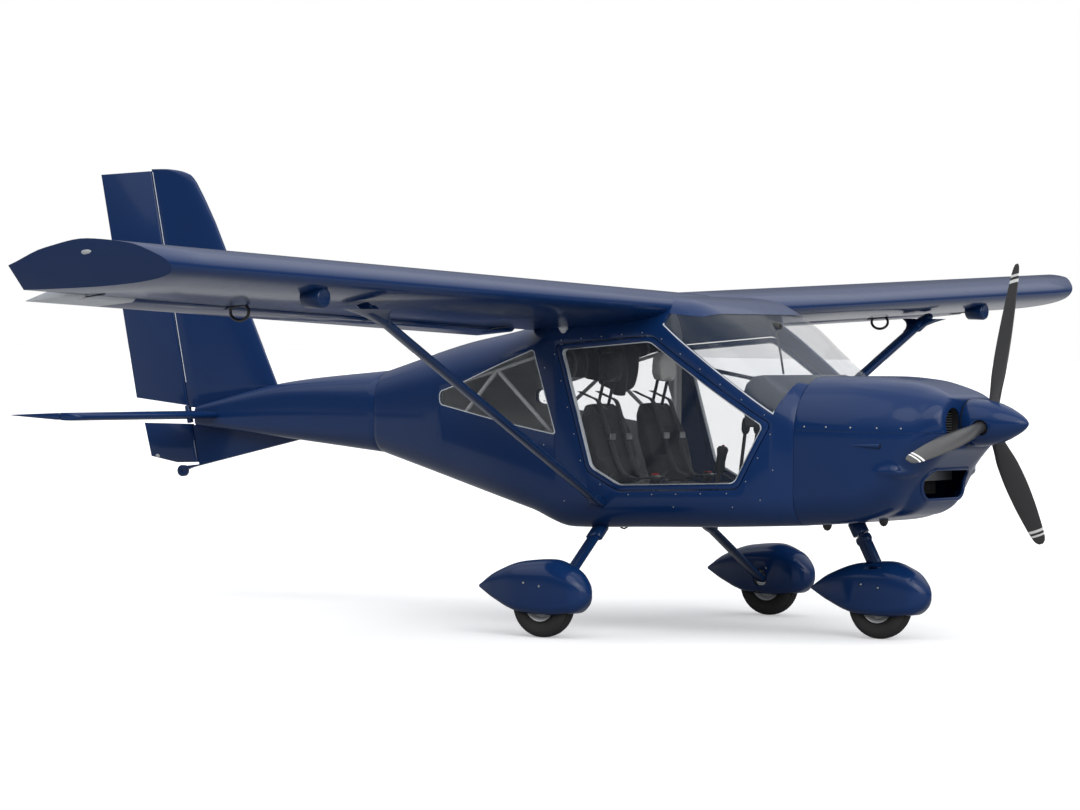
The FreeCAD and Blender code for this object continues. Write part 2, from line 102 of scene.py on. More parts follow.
# ------------------------------------------------------------------ workshop
class Cut(Enum):
    """How one closed form acts on another."""

    TAKE_AWAY = "DIFFERENCE"
    KEEP_SHARED = "INTERSECT"
    JOIN = "UNION"


def select_only(piece: Object) -> None:
    """Deselect everything, then select one piece and make it active.

    Args:
        piece: The piece that the next operators act on.
    """
    bpy.ops.object.select_all(action="DESELECT")
    piece.hide_set(False)
    piece.select_set(True)
    bpy.context.view_layer.objects.active = piece


@contextmanager
def editing(piece: Object) -> Iterator[None]:
    """Open a piece in edit mode with everything in it selected, and close it after.

    Args:
        piece: The piece to open.

    Yields:
        Nothing; operators run inside the block.
    """
    select_only(piece)
    bpy.ops.object.mode_set(mode="EDIT")
    bpy.ops.mesh.select_mode(type="VERT")
    bpy.ops.mesh.select_all(action="SELECT")
    yield
    bpy.ops.object.mode_set(mode="OBJECT")


def mm(x: float, y: float, z: float) -> Vector:
    """Point or step in metres, from its parts in millimetres."""
    return Vector((x, y, z)) * MM


def named(name: str) -> Object:
    """Name the piece that an operator just added, and set its place into its mesh.

    Args:
        name: The piece's name.

    Returns:
        The piece, at the origin, unturned and unscaled.
    """
    piece = bpy.context.active_object
    piece.name = name
    piece.data.name = name
    bpy.ops.object.transform_apply(location=True, rotation=True, scale=True)
    return piece


def closed_up(piece: Object, fill: bool = True) -> Object:
    """Merge doubled points, fill open ends and turn the faces outwards.

    Args:
        piece: A mesh whose seam and ends may be open.
        fill: Whether open ends get a face.

    Returns:
        The same piece.
    """
    with editing(piece):
        bpy.ops.mesh.remove_doubles(threshold=WELD)
        if fill:
            bpy.ops.mesh.fill_holes(sides=0)
        bpy.ops.mesh.select_all(action="SELECT")
        bpy.ops.mesh.normals_make_consistent(inside=False)
    return piece


def lofted(name: str, rings: Sequence[Sequence[Vector]]) -> Object:
    """Wrap a grid round closed rings of points, all with the same count.

    Args:
        name: The piece's name.
        rings: Closed rings, in order along the form.

    Returns:
        The lofted piece, closed at both ends.
    """
    bpy.ops.object.select_all(action="DESELECT")
    around, steps = len(rings[0]), len(rings) - 1
    bpy.ops.mesh.primitive_grid_add(x_subdivisions=around, y_subdivisions=steps, size=1.0)
    piece = named(name)
    for point in piece.data.vertices:
        i = round((point.co.x + 0.5) * around) % around
        j = round((point.co.y + 0.5) * steps)
        point.co = rings[j][i]
    return closed_up(piece)


def outlined(name: str, points: Sequence[Vector], rise: Vector, corner: float) -> Object:
    """Draw a flat outline from a circle primitive, round its corners and extrude it.

    Args:
        name: The piece's name.
        points: Corners of the outline, in order.
        rise: Vector of the extrusion.
        corner: Radius given to the corners before the extrusion, or 0.

    Returns:
        The closed prism.
    """
    bpy.ops.object.select_all(action="DESELECT")
    bpy.ops.mesh.primitive_circle_add(vertices=len(points), radius=1.0, fill_type="NGON")
    piece = named(name)
    for corner_point, place in zip(piece.data.vertices, points):
        corner_point.co = place
    with editing(piece):
        if corner > 0:
            bpy.ops.mesh.bevel(offset=corner, affect="VERTICES", segments=5)
            bpy.ops.mesh.select_all(action="SELECT")
        bpy.ops.mesh.extrude_region_move(TRANSFORM_OT_translate={"value": rise})
        bpy.ops.mesh.select_all(action="SELECT")
        bpy.ops.mesh.normals_make_consistent(inside=False)
    return piece


def prism(name: str, corners: Sequence[Row], y_range: Row, corner: float = 0.0) -> Object:
    """Side-view outline of (x, z) corners in millimetres, carried from one y to another.

    Args:
        name: The piece's name.
        corners: Corners (x, z) in millimetres.
        y_range: First and last y in millimetres.
        corner: Corner radius in millimetres.

    Returns:
        The closed prism.
    """
    first, last = y_range
    points = [mm(x, first, z) for x, z in corners]
    return outlined(name, points, mm(0, last - first, 0), corner * MM)


def turned(name: str, profile: Sequence[Row], centre: Vector, axis: Vector, steps: int) -> Object:
    """Spin a closed profile round an axis, as on a lathe.

    Args:
        name: The piece's name.
        profile: Closed profile of (distance along the axis, radius) in millimetres.
        centre: Where distance and radius are zero, in metres.
        axis: Direction of the axis.
        steps: Steps of the spin.

    Returns:
        The turned piece.
    """
    bpy.ops.object.select_all(action="DESELECT")
    along = axis.normalized()
    side = along.orthogonal().normalized()
    bpy.ops.mesh.primitive_circle_add(vertices=len(profile), radius=1.0)
    piece = named(name)
    for point, (distance, radius) in zip(piece.data.vertices, profile):
        point.co = centre + along * distance * MM + side * radius * MM
    with editing(piece):
        bpy.ops.mesh.spin(steps=steps, angle=2 * math.pi, center=centre, axis=along)
    return closed_up(piece, fill=False)


def rod(name: str, start: Vector, end: Vector, radius: float, sides: int = 20) -> Object:
    """Round bar between two points with softened ends.

    Args:
        name: The piece's name.
        start: Centre of one end, in metres.
        end: Centre of the other end.
        radius: Radius in metres.
        sides: Sides of the bar.

    Returns:
        The bar.
    """
    bpy.ops.object.select_all(action="DESELECT")
    run = end - start
    bpy.ops.mesh.primitive_cylinder_add(vertices=sides, radius=radius, depth=run.length,
                                        location=(start + end) / 2,
                                        rotation=run.to_track_quat("Z", "Y").to_euler())
    return softened(named(name), radius * 0.25, 2, 40)


def block(name: str, low: Vector, high: Vector, bevel: float, segments: int = 3) -> Object:
    """Box between two corners with rounded edges.

    Args:
        name: The piece's name.
        low: Lowest corner in metres.
        high: Highest corner.
        bevel: Radius of its edges.
        segments: Steps of that radius.

    Returns:
        The rounded box.
    """
    bpy.ops.object.select_all(action="DESELECT")
    bpy.ops.mesh.primitive_cube_add(size=1.0, location=(low + high) / 2, scale=high - low)
    return softened(named(name), bevel, segments, 30)


def with_modifier(piece: Object, kind: str, **settings: object) -> Object:
    """Add a modifier to a piece and apply it.

    Args:
        piece: The piece.
        kind: Blender's type of modifier.
        **settings: Its settings.

    Returns:
        The same piece.
    """
    select_only(piece)
    modifier = piece.modifiers.new(kind.title(), kind)
    for key, value in settings.items():
        setattr(modifier, key, value)
    bpy.ops.object.modifier_apply(modifier=modifier.name)
    return piece


def softened(piece: Object, width: float, segments: int, angle: float) -> Object:
    """Round the sharp edges of a piece.

    Args:
        piece: The piece.
        width: Width of the rounding in metres.
        segments: Steps of the rounding.
        angle: Smallest angle between faces, in degrees, that counts as an edge.

    Returns:
        The same piece.
    """
    return with_modifier(piece, "BEVEL", width=width, segments=segments, limit_method="ANGLE",
                         angle_limit=math.radians(angle))


def combined(piece: Object, tool: Object, cut: Cut, keep_tool: bool = False) -> Object:
    """Cut or join one closed form with another.

    Args:
        piece: The form that is changed.
        tool: The form that acts on it.
        cut: What it does.
        keep_tool: Whether the tool is used again.

    Returns:
        The changed form.
    """
    with_modifier(piece, "BOOLEAN", operation=cut.value, object=tool, solver="MANIFOLD")
    if not keep_tool:
        bpy.data.objects.remove(tool)
    return piece


def copied(piece: Object, name: str) -> Object:
    """Copy a piece with a mesh of its own.

    Args:
        piece: The piece to copy.
        name: The copy's name.

    Returns:
        The copy.
    """
    twin = piece.copy()
    twin.data = piece.data.copy()
    twin.name = name
    twin.data.name = name
    twin.parent = None
    bpy.context.scene.collection.objects.link(twin)
    return twin


def mirrored(piece: Object, name: str) -> Object:
    """Copy a port piece to starboard, faces outwards.

    Args:
        piece: The port piece.
        name: The starboard piece's name.

    Returns:
        The mirror image in the plane Y = 0.
    """
    twin = copied(piece, name)
    twin.data.transform(Matrix.Scale(-1, 4, ACROSS))
    twin.data.flip_normals()
    return twin


def joined(name: str, pieces: Sequence[Object]) -> Object:
    """Join several pieces into one.

    Args:
        name: The joined piece's name.
        pieces: The pieces.

    Returns:
        The joined piece.
    """
    select_only(pieces[0])
    for piece in pieces[1:]:
        piece.select_set(True)
    bpy.ops.object.join()
    pieces[0].name = name
    pieces[0].data.name = name
    return pieces[0]


def smoothed(piece: Object, angle: float = 35.0) -> Object:
    """Shade a piece smoothly, apart from edges sharper than an angle in degrees."""
    select_only(piece)
    bpy.ops.object.shade_smooth_by_angle(angle=math.radians(angle))
    return piece


def circle(count: int) -> list[float]:
    """Angles that share a full turn evenly."""
    return [2 * math.pi * k / count for k in range(count)]


def round_ring(centre: Vector, first: Vector, second: Vector, count: int) -> list[Vector]:
    """Closed ring of points round a centre, on an ellipse.

    Args:
        centre: Middle of the ring.
        first: Half axis that reaches the first point.
        second: The other half axis.
        count: How many points there are.

    Returns:
        The ring's points.
    """
    return [centre + first * math.cos(a) + second * math.sin(a) for a in circle(count)]


def eased(xs: Sequence[float], ys: Sequence[float], x: float) -> float:
    """Read a smooth curve through points, which never swings past them.

    Args:
        xs: Places of the points, rising.
        ys: Values there.
        x: Where the curve is read.

    Returns:
        The value at x.
    """
    slopes = [(ys[i + 1] - ys[i]) / (xs[i + 1] - xs[i]) for i in range(len(xs) - 1)]
    lean = [slopes[0]] + [0.0] * (len(xs) - 2) + [slopes[-1]]
    for i in range(1, len(xs) - 1):
        if slopes[i - 1] * slopes[i] > 0:
            lean[i] = 2 * slopes[i - 1] * slopes[i] / (slopes[i - 1] + slopes[i])
    i = min(max(sum(1 for v in xs if v <= x) - 1, 0), len(xs) - 2)
    run = xs[i + 1] - xs[i]
    t = (x - xs[i]) / run
    if t < 0 or t > 1:
        return ys[0] + lean[0] * (x - xs[0]) if t < 0 else ys[-1] + lean[-1] * (x - xs[-1])
    return ((2 * t**3 - 3 * t**2 + 1) * ys[i] + (t**3 - 2 * t**2 + t) * run * lean[i]
            + (3 * t**2 - 2 * t**3) * ys[i + 1] + (t**3 - t**2) * run * lean[i + 1])


# share of the chord behind the leading edge, half thickness as a share of the greatest
FIXED_FORM: tuple[Row, ...] = ((0.0, 0.0), (0.02, 0.40), (0.08, 0.74), (0.30, 1.0), (1.0, 0.94))
BAR_FORM: tuple[Row, ...] = ((0.0, 0.0), (0.03, 0.48), (0.12, 0.86), (0.30, 1.0), (0.65, 0.74), (1.0, 0.06))


def foil(lead: Vector, rear: Vector, half: float, side: Vector, form: Sequence[Row]) -> list[Vector]:
    """Closed streamlined ring from a leading point to a rear point.

    Args:
        lead: Leading point in metres.
        rear: Rear point.
        half: Half of the greatest thickness in metres.
        side: Unit vector across the form.
        form: Half thickness along the chord.

    Returns:
        The ring's points.
    """
    ts = [math.sqrt(share) for share, _ in form]
    offs = [off for _, off in form]
    line = [(t * t, eased(ts, offs, t) * half) for t in (k / FOIL_STEPS for k in range(FOIL_STEPS + 1))]
    near = [lead + (rear - lead) * share + side * off for share, off in line]
    far = [lead + (rear - lead) * share - side * off for share, off in line[1:]]
    return near + far[::-1]


def hinged(axis: Vector, rear: Vector, radius: float, side: Vector, edge: float = 0.0025) -> list[Vector]:
    """Closed ring of a moving surface: half-round nose about its hinge axis, thin rear edge.

    Args:
        axis: Point on the hinge axis.
        rear: Middle of the rear edge.
        radius: Radius of the nose in metres.
        side: Unit vector across the surface.
        edge: Half thickness of the rear edge.

    Returns:
        The ring's points.
    """
    ahead = (axis - rear).normalized()
    nose = [axis + (ahead * math.cos(a) + side * math.sin(a)) * radius
            for a in (math.radians(-90 + 15 * k) for k in range(13))]
    return nose + [rear + side * edge, rear - ahead * edge * 0.6, rear - side * edge]


def tube(name: str, path: Sequence[Vector], radius: float, sides: int = 12) -> Object:
    """Round tube along a path.

    Args:
        name: The piece's name.
        path: Points of its middle line, in metres.
        radius: Radius in metres.
        sides: Sides of the tube.

    Returns:
        The tube, closed at both ends.
    """
    rings = []
    side = (path[1] - path[0]).orthogonal().normalized()
    for k, place in enumerate(path):
        ahead = (path[min(k + 1, len(path) - 1)] - path[max(k - 1, 0)]).normalized()
        side = (side - ahead * side.dot(ahead)).normalized()
        up = ahead.cross(side)
        rings.append(round_ring(place, side * radius, up * radius, sides))
    return lofted(name, rings)


def strap(name: str, path: Sequence[Triple], width: float, thick: float,
          across: Vector) -> Object:
    """Flat webbing strap along a smooth path.

    Args:
        name: The piece's name.
        path: Points of its middle line, in millimetres.
        width: Width in millimetres.
        thick: Thickness in millimetres.
        across: Direction of its width.

    Returns:
        The strap.
    """
    places = [Vector(p) for p in path]
    at = [0.0]
    for a, b in zip(places, places[1:]):
        at.append(at[-1] + (b - a).length)
    count = max(int(at[-1] / 14), 6)
    line = [Vector(eased(at, [p[k] for p in places], at[-1] * i / count) for k in range(3))
            for i in range(count + 1)]
    rings = []
    for k, place in enumerate(line):
        ahead = (line[min(k + 1, count)] - line[max(k - 1, 0)]).normalized()
        side = (across - ahead * across.dot(ahead)).normalized()
        up = ahead.cross(side)
        w, t = side * width / 2, up * thick / 2
        e = side * thick / 2
        rings.append([p * MM for p in (place + w - e + t, place + w, place + w - e - t, place - w + e - t,
                                       place - w, place - w + e + t)])
    return lofted(name, rings)


def screws(name: str, places: Sequence[tuple[Vector, Vector]], radius: float, height: float) -> Object:
    """Low round screw heads, joined into one piece.

    Args:
        name: The piece's name.
        places: Place of each head in metres and the direction that it faces.
        radius: Radius of a head in millimetres.
        height: How far it stands proud.

    Returns:
        All the heads as one piece.
    """
    shape = ((-1.5, 0.4), (-1.5, radius), (height * 0.35, radius), (height, radius * 0.6),
             (height, radius * 0.35), (height * 0.55, radius * 0.3), (height * 0.55, 0.4))
    return smoothed(joined(name, [turned("head", shape, place, out, 14) for place, out in places]), 50)


def faired(name: str, low: Vector, high: Vector, half: Row, part: Row,
           grow: float = 0.0) -> Object:
    """Streamlined bar or cuff along part of a line, its chord near X.

    Args:
        name: The piece's name.
        low: Lower end of the line in millimetres.
        high: Upper end.
        half: Half chord and half thickness.
        part: Distances along the line where the piece starts and stops.
        grow: How far a cuff stands proud of the bar; its ends are drawn in.

    Returns:
        The bar or cuff.
    """
    along = (high - low).normalized()
    ahead = (AHEAD - along * along.x).normalized()
    side = along.cross(ahead)
    first, last = part
    stations = ((first, grow * 0.4), (first + 12, grow), (last - 12, grow), (last, grow * 0.4)) if grow \
        else ((first, 0.0), (last, 0.0))
    rings = []
    for at, more in stations:
        centre, reach = low + along * at, half[0] + more
        rings.append(foil((centre + ahead * reach) * MM, (centre - ahead * reach) * MM, (half[1] + more) * MM,
                          side, BAR_FORM))
    return lofted(name, rings)


# ------------------------------------------------------------------ materials
def linear(code: str) -> tuple[float, float, float, float]:
    """Turn an sRGB hex colour into linear RGBA.

    Args:
        code: Six hex digits after a hash sign.

    Returns:
        Linear red, green, blue and alpha.
    """
    def channel(pair: str) -> float:
        """Linear value of two hex digits."""
        value = int(pair, 16) / 255
        return value / 12.92 if value <= 0.04045 else ((value + 0.055) / 1.055) ** 2.4
    return channel(code[1:3]), channel(code[3:5]), channel(code[5:7]), 1.0


def node(tree: NodeTree, kind: str, sockets: dict | None = None, **settings: object) -> Node:
    """Add a node with its settings, input values and links.

    Args:
        tree: The material's node tree.
        kind: Blender's type of node.
        sockets: Inputs by name or index; an output socket is linked, anything else is set.
        **settings: Settings of the node itself.

    Returns:
        The node.
    """
    made = tree.nodes.new(kind)
    for key, value in settings.items():
        setattr(made, key, value)
    for key, value in (sockets or {}).items():
        if isinstance(value, NodeSocket):
            tree.links.new(value, made.inputs[key])
        else:
            made.inputs[key].default_value = value
    return made


def per_metre(millimetres: float) -> float:
    """Texture scale that repeats once in so many millimetres."""
    return 1.0 / (millimetres * MM)


def wave(tree: NodeTree, coord: NodeSocket, size_mm: float, distortion: float, **settings: str) -> Node:
    """Wave texture whose bands repeat after a given length.

    Args:
        tree: The material's nodes.
        coord: Coordinates in metres.
        size_mm: Length after which the bands repeat.
        distortion: How far the bands waver.
        **settings: Its direction and profile.

    Returns:
        The texture node.
    """
    values = {"Vector": coord, "Scale": per_metre(size_mm) * WAVE_PER_METRE, "Distortion": distortion}
    return node(tree, "ShaderNodeTexWave", values, **settings)


@dataclass(frozen=True)
class Finish:
    """What every finish has: a common name, one colour, its gloss, and grain in its surface."""

    name: str
    colour: str
    roughness: float
    grain_mm: float = 3.0
    grain_depth_mm: float = 0.02
    metallic: float = 0.0
    shade: float = 0.12
    rough_swing: float = 0.08

    def build(self) -> Material:
        """Make the material.

        Returns:
            A material with the finish's colour, mottling, roughness and grain.
        """
        material = bpy.data.materials.new(self.name)
        material.use_nodes = True
        tree = material.node_tree
        shader = tree.nodes["Principled BSDF"]
        coord = node(tree, "ShaderNodeTexCoord").outputs["Object"]
        shader.inputs["Metallic"].default_value = self.metallic
        tree.links.new(self.tone(tree, coord), shader.inputs["Base Color"])
        tree.links.new(self.gloss(tree, coord), shader.inputs["Roughness"])
        if self.grain_depth_mm > 0:
            tree.links.new(self.relief(tree, coord), shader.inputs["Normal"])
        self.extras(tree, shader, coord)
        return material

    def mottle(self, tree: NodeTree, coord: NodeSocket, size_mm: float) -> NodeSocket:
        """Soft cloudy pattern of one size, from 0 to 1."""
        return node(tree, "ShaderNodeTexNoise", {"Vector": coord, "Scale": per_metre(size_mm),
                                                 "Detail": 3.0}).outputs["Fac"]

    def tone(self, tree: NodeTree, coord: NodeSocket) -> NodeSocket:
        """Colour with a little variation over the surface."""
        base = linear(self.colour)
        dark = tuple(c * (1 - self.shade) for c in base[:3]) + (1.0,)
        pale = tuple(min(1.0, c * (1 + self.shade)) for c in base[:3]) + (1.0,)
        return node(tree, "ShaderNodeMix", {0: self.mottle(tree, coord, 220), 6: dark, 7: pale},
                    data_type="RGBA").outputs[2]

    def gloss(self, tree: NodeTree, coord: NodeSocket) -> NodeSocket:
        """Roughness that swings a little round its mean."""
        low, high = self.roughness - self.rough_swing / 2, self.roughness + self.rough_swing / 2
        return node(tree, "ShaderNodeMapRange", {"Value": self.mottle(tree, coord, 60),
                                                 "To Min": low, "To Max": high}).outputs[0]

    def relief(self, tree: NodeTree, coord: NodeSocket) -> NodeSocket:
        """Grain of the surface as a bump."""
        grain = self.mottle(tree, coord, self.grain_mm)
        return node(tree, "ShaderNodeBump", {"Height": grain, "Distance": self.grain_depth_mm * MM,
                                             "Strength": 0.6}).outputs["Normal"]

    def extras(self, tree: NodeTree, shader: Node, coord: NodeSocket) -> None:
        """Settings that only some finishes have."""


@dataclass(frozen=True)
class CarPaint(Finish):
    """Two-pack polyurethane paint sprayed on a composite or alloy shell, with a clear coat."""

    coat: float = 0.38
    coat_roughness: float = 0.10
    colour_gloss: float = 0.08

    def extras(self, tree: NodeTree, shader: Node, coord: NodeSocket) -> None:
        """A clear coat lies over the colour and gives nearly all of its gloss."""
        shader.inputs["Specular IOR Level"].default_value = self.colour_gloss
        shader.inputs["Coat Weight"].default_value = self.coat
        shader.inputs["Coat Roughness"].default_value = self.coat_roughness


@dataclass(frozen=True)
class DopedCloth(CarPaint):
    """Heat-shrunk polyester cloth, doped, painted and coated: its weave and rib tapes just show."""

    thread_mm: float = 6.0
    rib_mm: float = 330.0
    coat: float = 0.44

    def relief(self, tree: NodeTree, coord: NodeSocket) -> NodeSocket:
        """Weave, drawn coarser than the real half millimetre so that it shows, and rib tapes."""
        weave = wave(tree, coord, self.thread_mm, 0.3, bands_direction="DIAGONAL")
        ribs = wave(tree, coord, self.rib_mm, 0.0, bands_direction="Y", wave_profile="SAW")
        edge = node(tree, "ShaderNodeMapRange", {"Value": ribs.outputs["Fac"], "From Min": 0.94,
                                                 "From Max": 0.97}, interpolation_type="SMOOTHSTEP")
        fine = node(tree, "ShaderNodeBump", {"Height": weave.outputs["Fac"], "Distance": 0.03 * MM,
                                             "Strength": 0.4}).outputs["Normal"]
        return node(tree, "ShaderNodeBump", {"Height": edge.outputs[0], "Distance": 0.5 * MM,
                                             "Strength": 0.5, "Normal": fine}).outputs["Normal"]


@dataclass(frozen=True)
class Glazing(Finish):
    """Polycarbonate sheet: clear, faintly tinted, glossy on both faces."""

    clearness: float = 0.88

    def extras(self, tree: NodeTree, shader: Node, coord: NodeSocket) -> None:
        """Most of the light goes straight through the sheet."""
        shader.inputs["Alpha"].default_value = 1 - self.clearness
        shader.inputs["Coat Weight"].default_value = 1.0
        shader.inputs["Coat Roughness"].default_value = 0.02


@dataclass(frozen=True)
class WovenCloth(Finish):
    """Woven fabric with a soft sheen: threads cross at a real spacing, drawn twice as coarse."""

    thread_mm: float = 2.2
    sheen: float = 0.35

    def relief(self, tree: NodeTree, coord: NodeSocket) -> NodeSocket:
        """Warp and weft as two crossed waves."""
        waves = [wave(tree, coord, self.thread_mm, 0.6, bands_direction=way) for way in ("X", "Z")]
        crossed = node(tree, "ShaderNodeMath", {0: waves[0].outputs["Fac"], 1: waves[1].outputs["Fac"]},
                       operation="MULTIPLY")
        return node(tree, "ShaderNodeBump", {"Height": crossed.outputs[0], "Distance": 0.6 * MM,
                                             "Strength": 0.7}).outputs["Normal"]

    def extras(self, tree: NodeTree, shader: Node, coord: NodeSocket) -> None:
        """Loose fibres give a sheen."""
        shader.inputs["Sheen Weight"].default_value = self.sheen
        shader.inputs["Sheen Roughness"].default_value = 0.5


@dataclass(frozen=True)
class BladeLacquer(Finish):
    """Satin lacquer on a carbon blade, with two painted stripes near the tip."""

    stripe: str = "#e9e9e6"
    stripes_mm: tuple[Row, ...] = ((774.0, 792.0), (808.0, 822.0))

    def tone(self, tree: NodeTree, coord: NodeSocket) -> NodeSocket:
        """Lacquer colour, with the stripes where the distance from the hub says."""
        hub = Vector((0.0, 0.0, PROP_Z))
        moved = node(tree, "ShaderNodeVectorMath", {0: coord, 1: hub}, operation="SUBTRACT")
        flat = node(tree, "ShaderNodeVectorMath", {0: moved.outputs[0], 1: Vector((0, 1, 1))},
                    operation="MULTIPLY")
        reach = node(tree, "ShaderNodeVectorMath", {0: flat.outputs[0]}, operation="LENGTH").outputs["Value"]
        masks = []
        for low, high in self.stripes_mm:
            middle, half = (low + high) / 2 * MM, (high - low) / 2 * MM
            masks.append(node(tree, "ShaderNodeMath", {0: reach, 1: middle, 2: half},
                              operation="COMPARE").outputs[0])
        both = node(tree, "ShaderNodeMath", {0: masks[0], 1: masks[1]}, operation="ADD").outputs[0]
        plain = super().tone(tree, coord)
        return node(tree, "ShaderNodeMix", {0: both, 6: plain, 7: linear(self.stripe)},
                    data_type="RGBA").outputs[2]


class Paints(Enum):
    """The finishes of this aircraft, one for each real material, and the painted ground reflection on the
    flaperons' end bays.
    """

    # Navy paint over glass-fibre mouldings: deep and even, with soft reflections
    SHELL = CarPaint("two_pack_navy_paint", "#0d2b58", 0.30, grain_mm=9, grain_depth_mm=0.01, shade=0.05)
    # Navy gloss over alloy tube and strut sections
    METAL_PAINT = CarPaint("navy_paint_on_alloy", "#0d284f", 0.32, grain_mm=6, grain_depth_mm=0.01,
                           shade=0.05)
    # Navy paint over shrunk polyester cloth: a little softer than on the mouldings
    COVERING = DopedCloth("navy_painted_polyester_cloth", "#0d2b58", 0.32, shade=0.05)
    # Pale grey satin on the flaperon's end bay: a painted reflection of the lit ground, seen from below at a
    # grazing angle
    PALE_GROUND_REFLECTION = Finish("pale_painted_ground_reflection", "#b9bdc2", 0.38, grain_mm=5)
    # Clear polycarbonate of the doors and rear windows
    WINDOW = Glazing("clear_polycarbonate", "#39424c", 0.05, clearness=0.88, grain_depth_mm=0.0)
    # The windscreen is thicker and slightly blue
    SCREEN = Glazing("tinted_polycarbonate", "#35465e", 0.04, clearness=0.84, grain_depth_mm=0.0)
    # Tyre compound: dull black, fine pores
    RUBBER = Finish("carbon_black_rubber", "#232323", 0.82, grain_mm=2, grain_depth_mm=0.15)
    # Spun and lacquered alloy wheel
    WHEEL_ALLOY = Finish("lacquered_spun_aluminium", "#c9cbcd", 0.34, metallic=0.35, grain_mm=4)
    # Zinc-plated steel of axles and bolts
    ZINC = Finish("zinc_plated_steel", "#a9abab", 0.34, metallic=1.0, grain_mm=3)
    # Carbon blade in satin black lacquer with white tip stripes
    BLADE = BladeLacquer("satin_black_lacquer", "#2b2b2c", 0.36, grain_mm=5)
    # Black woven seat cover
    SEAT_CLOTH = WovenCloth("black_woven_polyester", "#1b1b1e", 0.78, shade=0.25)
    # Seat belt webbing, tighter than the cover
    WEBBING = WovenCloth("black_belt_webbing", "#26262a", 0.62, thread_mm=1.6, sheen=0.2)
    # Navy lap straps of both seats
    NAVY_WEBBING = WovenCloth("navy_belt_webbing", "#1c2a4c", 0.60, thread_mm=1.6, sheen=0.25)
    # Dark grey curtain behind the seats
    CURTAIN = WovenCloth("dark_grey_curtain_cloth", "#34363b", 0.85, thread_mm=2.4, sheen=0.3, shade=0.2)
    # Pale vinyl of the port headrest
    VINYL = Finish("light_grey_vinyl", "#ecebe8", 0.46, grain_mm=1.6, grain_depth_mm=0.08)
    # Powder-coated white tube of the cabin frame
    WHITE_TUBE = Finish("white_powder_coat", "#dadcdd", 0.38, grain_mm=2)
    # Moulded black ABS of the panel, grips and levers
    BLACK_ABS = Finish("moulded_black_abs", "#1d1e20", 0.50, grain_mm=1.2, grain_depth_mm=0.05)
    # Dark grey leathercloth over the instrument shroud
    SHROUD = Finish("dark_grey_leathercloth", "#4b4d54", 0.62, grain_mm=2.5, grain_depth_mm=0.12)
    # Red moulded buttons and belt tabs
    RED_ABS = Finish("red_moulded_abs", "#b3241d", 0.42)
    # Clear ribbed acrylic of lamps and wing-root lens
    ACRYLIC = Glazing("clear_acrylic_lens", "#eef2f6", 0.10, clearness=0.45, grain_depth_mm=0.0)
    # Black rubber seal and gap filler; the same black is painted shade in the intake ducts and the side
    # gills' mouths
    BLACK_SEAL_AND_SHADE = Finish("black_seal_and_painted_shade", "#0c0d0f", 0.70, grain_mm=2)
    # Pale seals round the glazing and strips along the fin
    PALE_SEAL = Finish("pale_edge_seal", "#cdd3da", 0.45, grain_mm=2)
    # Engine crankcase as cast, grey
    CAST = Finish("cast_aluminium", "#74777a", 0.55, metallic=1.0, grain_mm=2, grain_depth_mm=0.2)
    # Grey carpet on the cabin floor
    CARPET = WovenCloth("grey_carpet", "#3a3c40", 0.9, thread_mm=4.0)


MATERIALS: dict[Paints, Material] = {}


def painted(piece: Object, paint: Paints) -> Object:
    """Give a piece one finish.

    Args:
        piece: The piece.
        paint: Its finish, built the first time that it is used.

    Returns:
        The same piece.
    """
    if paint not in MATERIALS:
        MATERIALS[paint] = paint.value.build()
    piece.data.materials.clear()
    piece.data.materials.append(MATERIALS[paint])
    return piece


def fitted(piece: Object, paint: Paints, body: str, slot: str, *nodes: str) -> Object:
    """Paint a finished piece, let it ride on its body and stand for CAD nodes.

    Args:
        piece: The finished piece.
        paint: Its finish.
        body: The CAD body that it moves with.
        slot: The record's material slot; not used.
        *nodes: CAD nodes that it replaces.

    Returns:
        The same piece.
    """
    painted(piece, paint)
    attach(piece, body)
    if nodes:
        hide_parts(*nodes)
    LOG.info("%s rides on %s", piece.name, body)
    return piece


def fixed(piece: Object, paint: Paints, slot: str, *nodes: str) -> Object:
    """Fit a finished piece to the airframe, as fitted does for any body."""
    return fitted(piece, paint, "airframe", slot, *nodes)


def dressed(name: str, paint: Paints, slot: str, bevel_mm: float) -> Object:
    """Finish a CAD node: a merged copy with rounded edges and smooth faces stands for it.

    Args:
        name: The CAD node.
        paint: Its finish.
        slot: The record's material slot; not used.
        bevel_mm: Width of its rounded edges.

    Returns:
        The finished copy.
    """
    frame_node = FRAME["nodes"][name]
    copy = copied(frame_node, f"{name}_finished")
    for key in [k for k in copy.keys() if k.startswith("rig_")]:
        del copy[key]
    with editing(copy):
        bpy.ops.mesh.remove_doubles(threshold=2 * WELD)
        bpy.ops.mesh.dissolve_limited(angle_limit=math.radians(1.0))
    if bevel_mm > 0:
        softened(copy, bevel_mm * MM, 2, NODE_EDGE)
    smoothed(copy, NODE_EDGE)
    return fitted(copy, paint, frame_node["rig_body"], slot, name)


def in_pairs(port: Object, paint: Paints, slot: str, stem: str = "",
             body: str = "airframe") -> tuple[Object, Object]:
    """Fit a port piece and its starboard mirror image.

    Args:
        port: The port piece, its name with _left.
        paint: Their finish.
        slot: The record's material slot; not used.
        stem: Stem of the CAD nodes that they replace, if any.
        body: Their body, with {side} where the two differ.

    Returns:
        Both pieces.
    """
    other = mirrored(port, port.name.replace("_left", "_right"))
    for piece, side in ((port, "left"), (other, "right")):
        fitted(piece, paint, body.format(side=side), slot, *([f"{stem}_{side}"] if stem else []))
    return port, other


# ------------------------------------------------------------------ fuselage forms


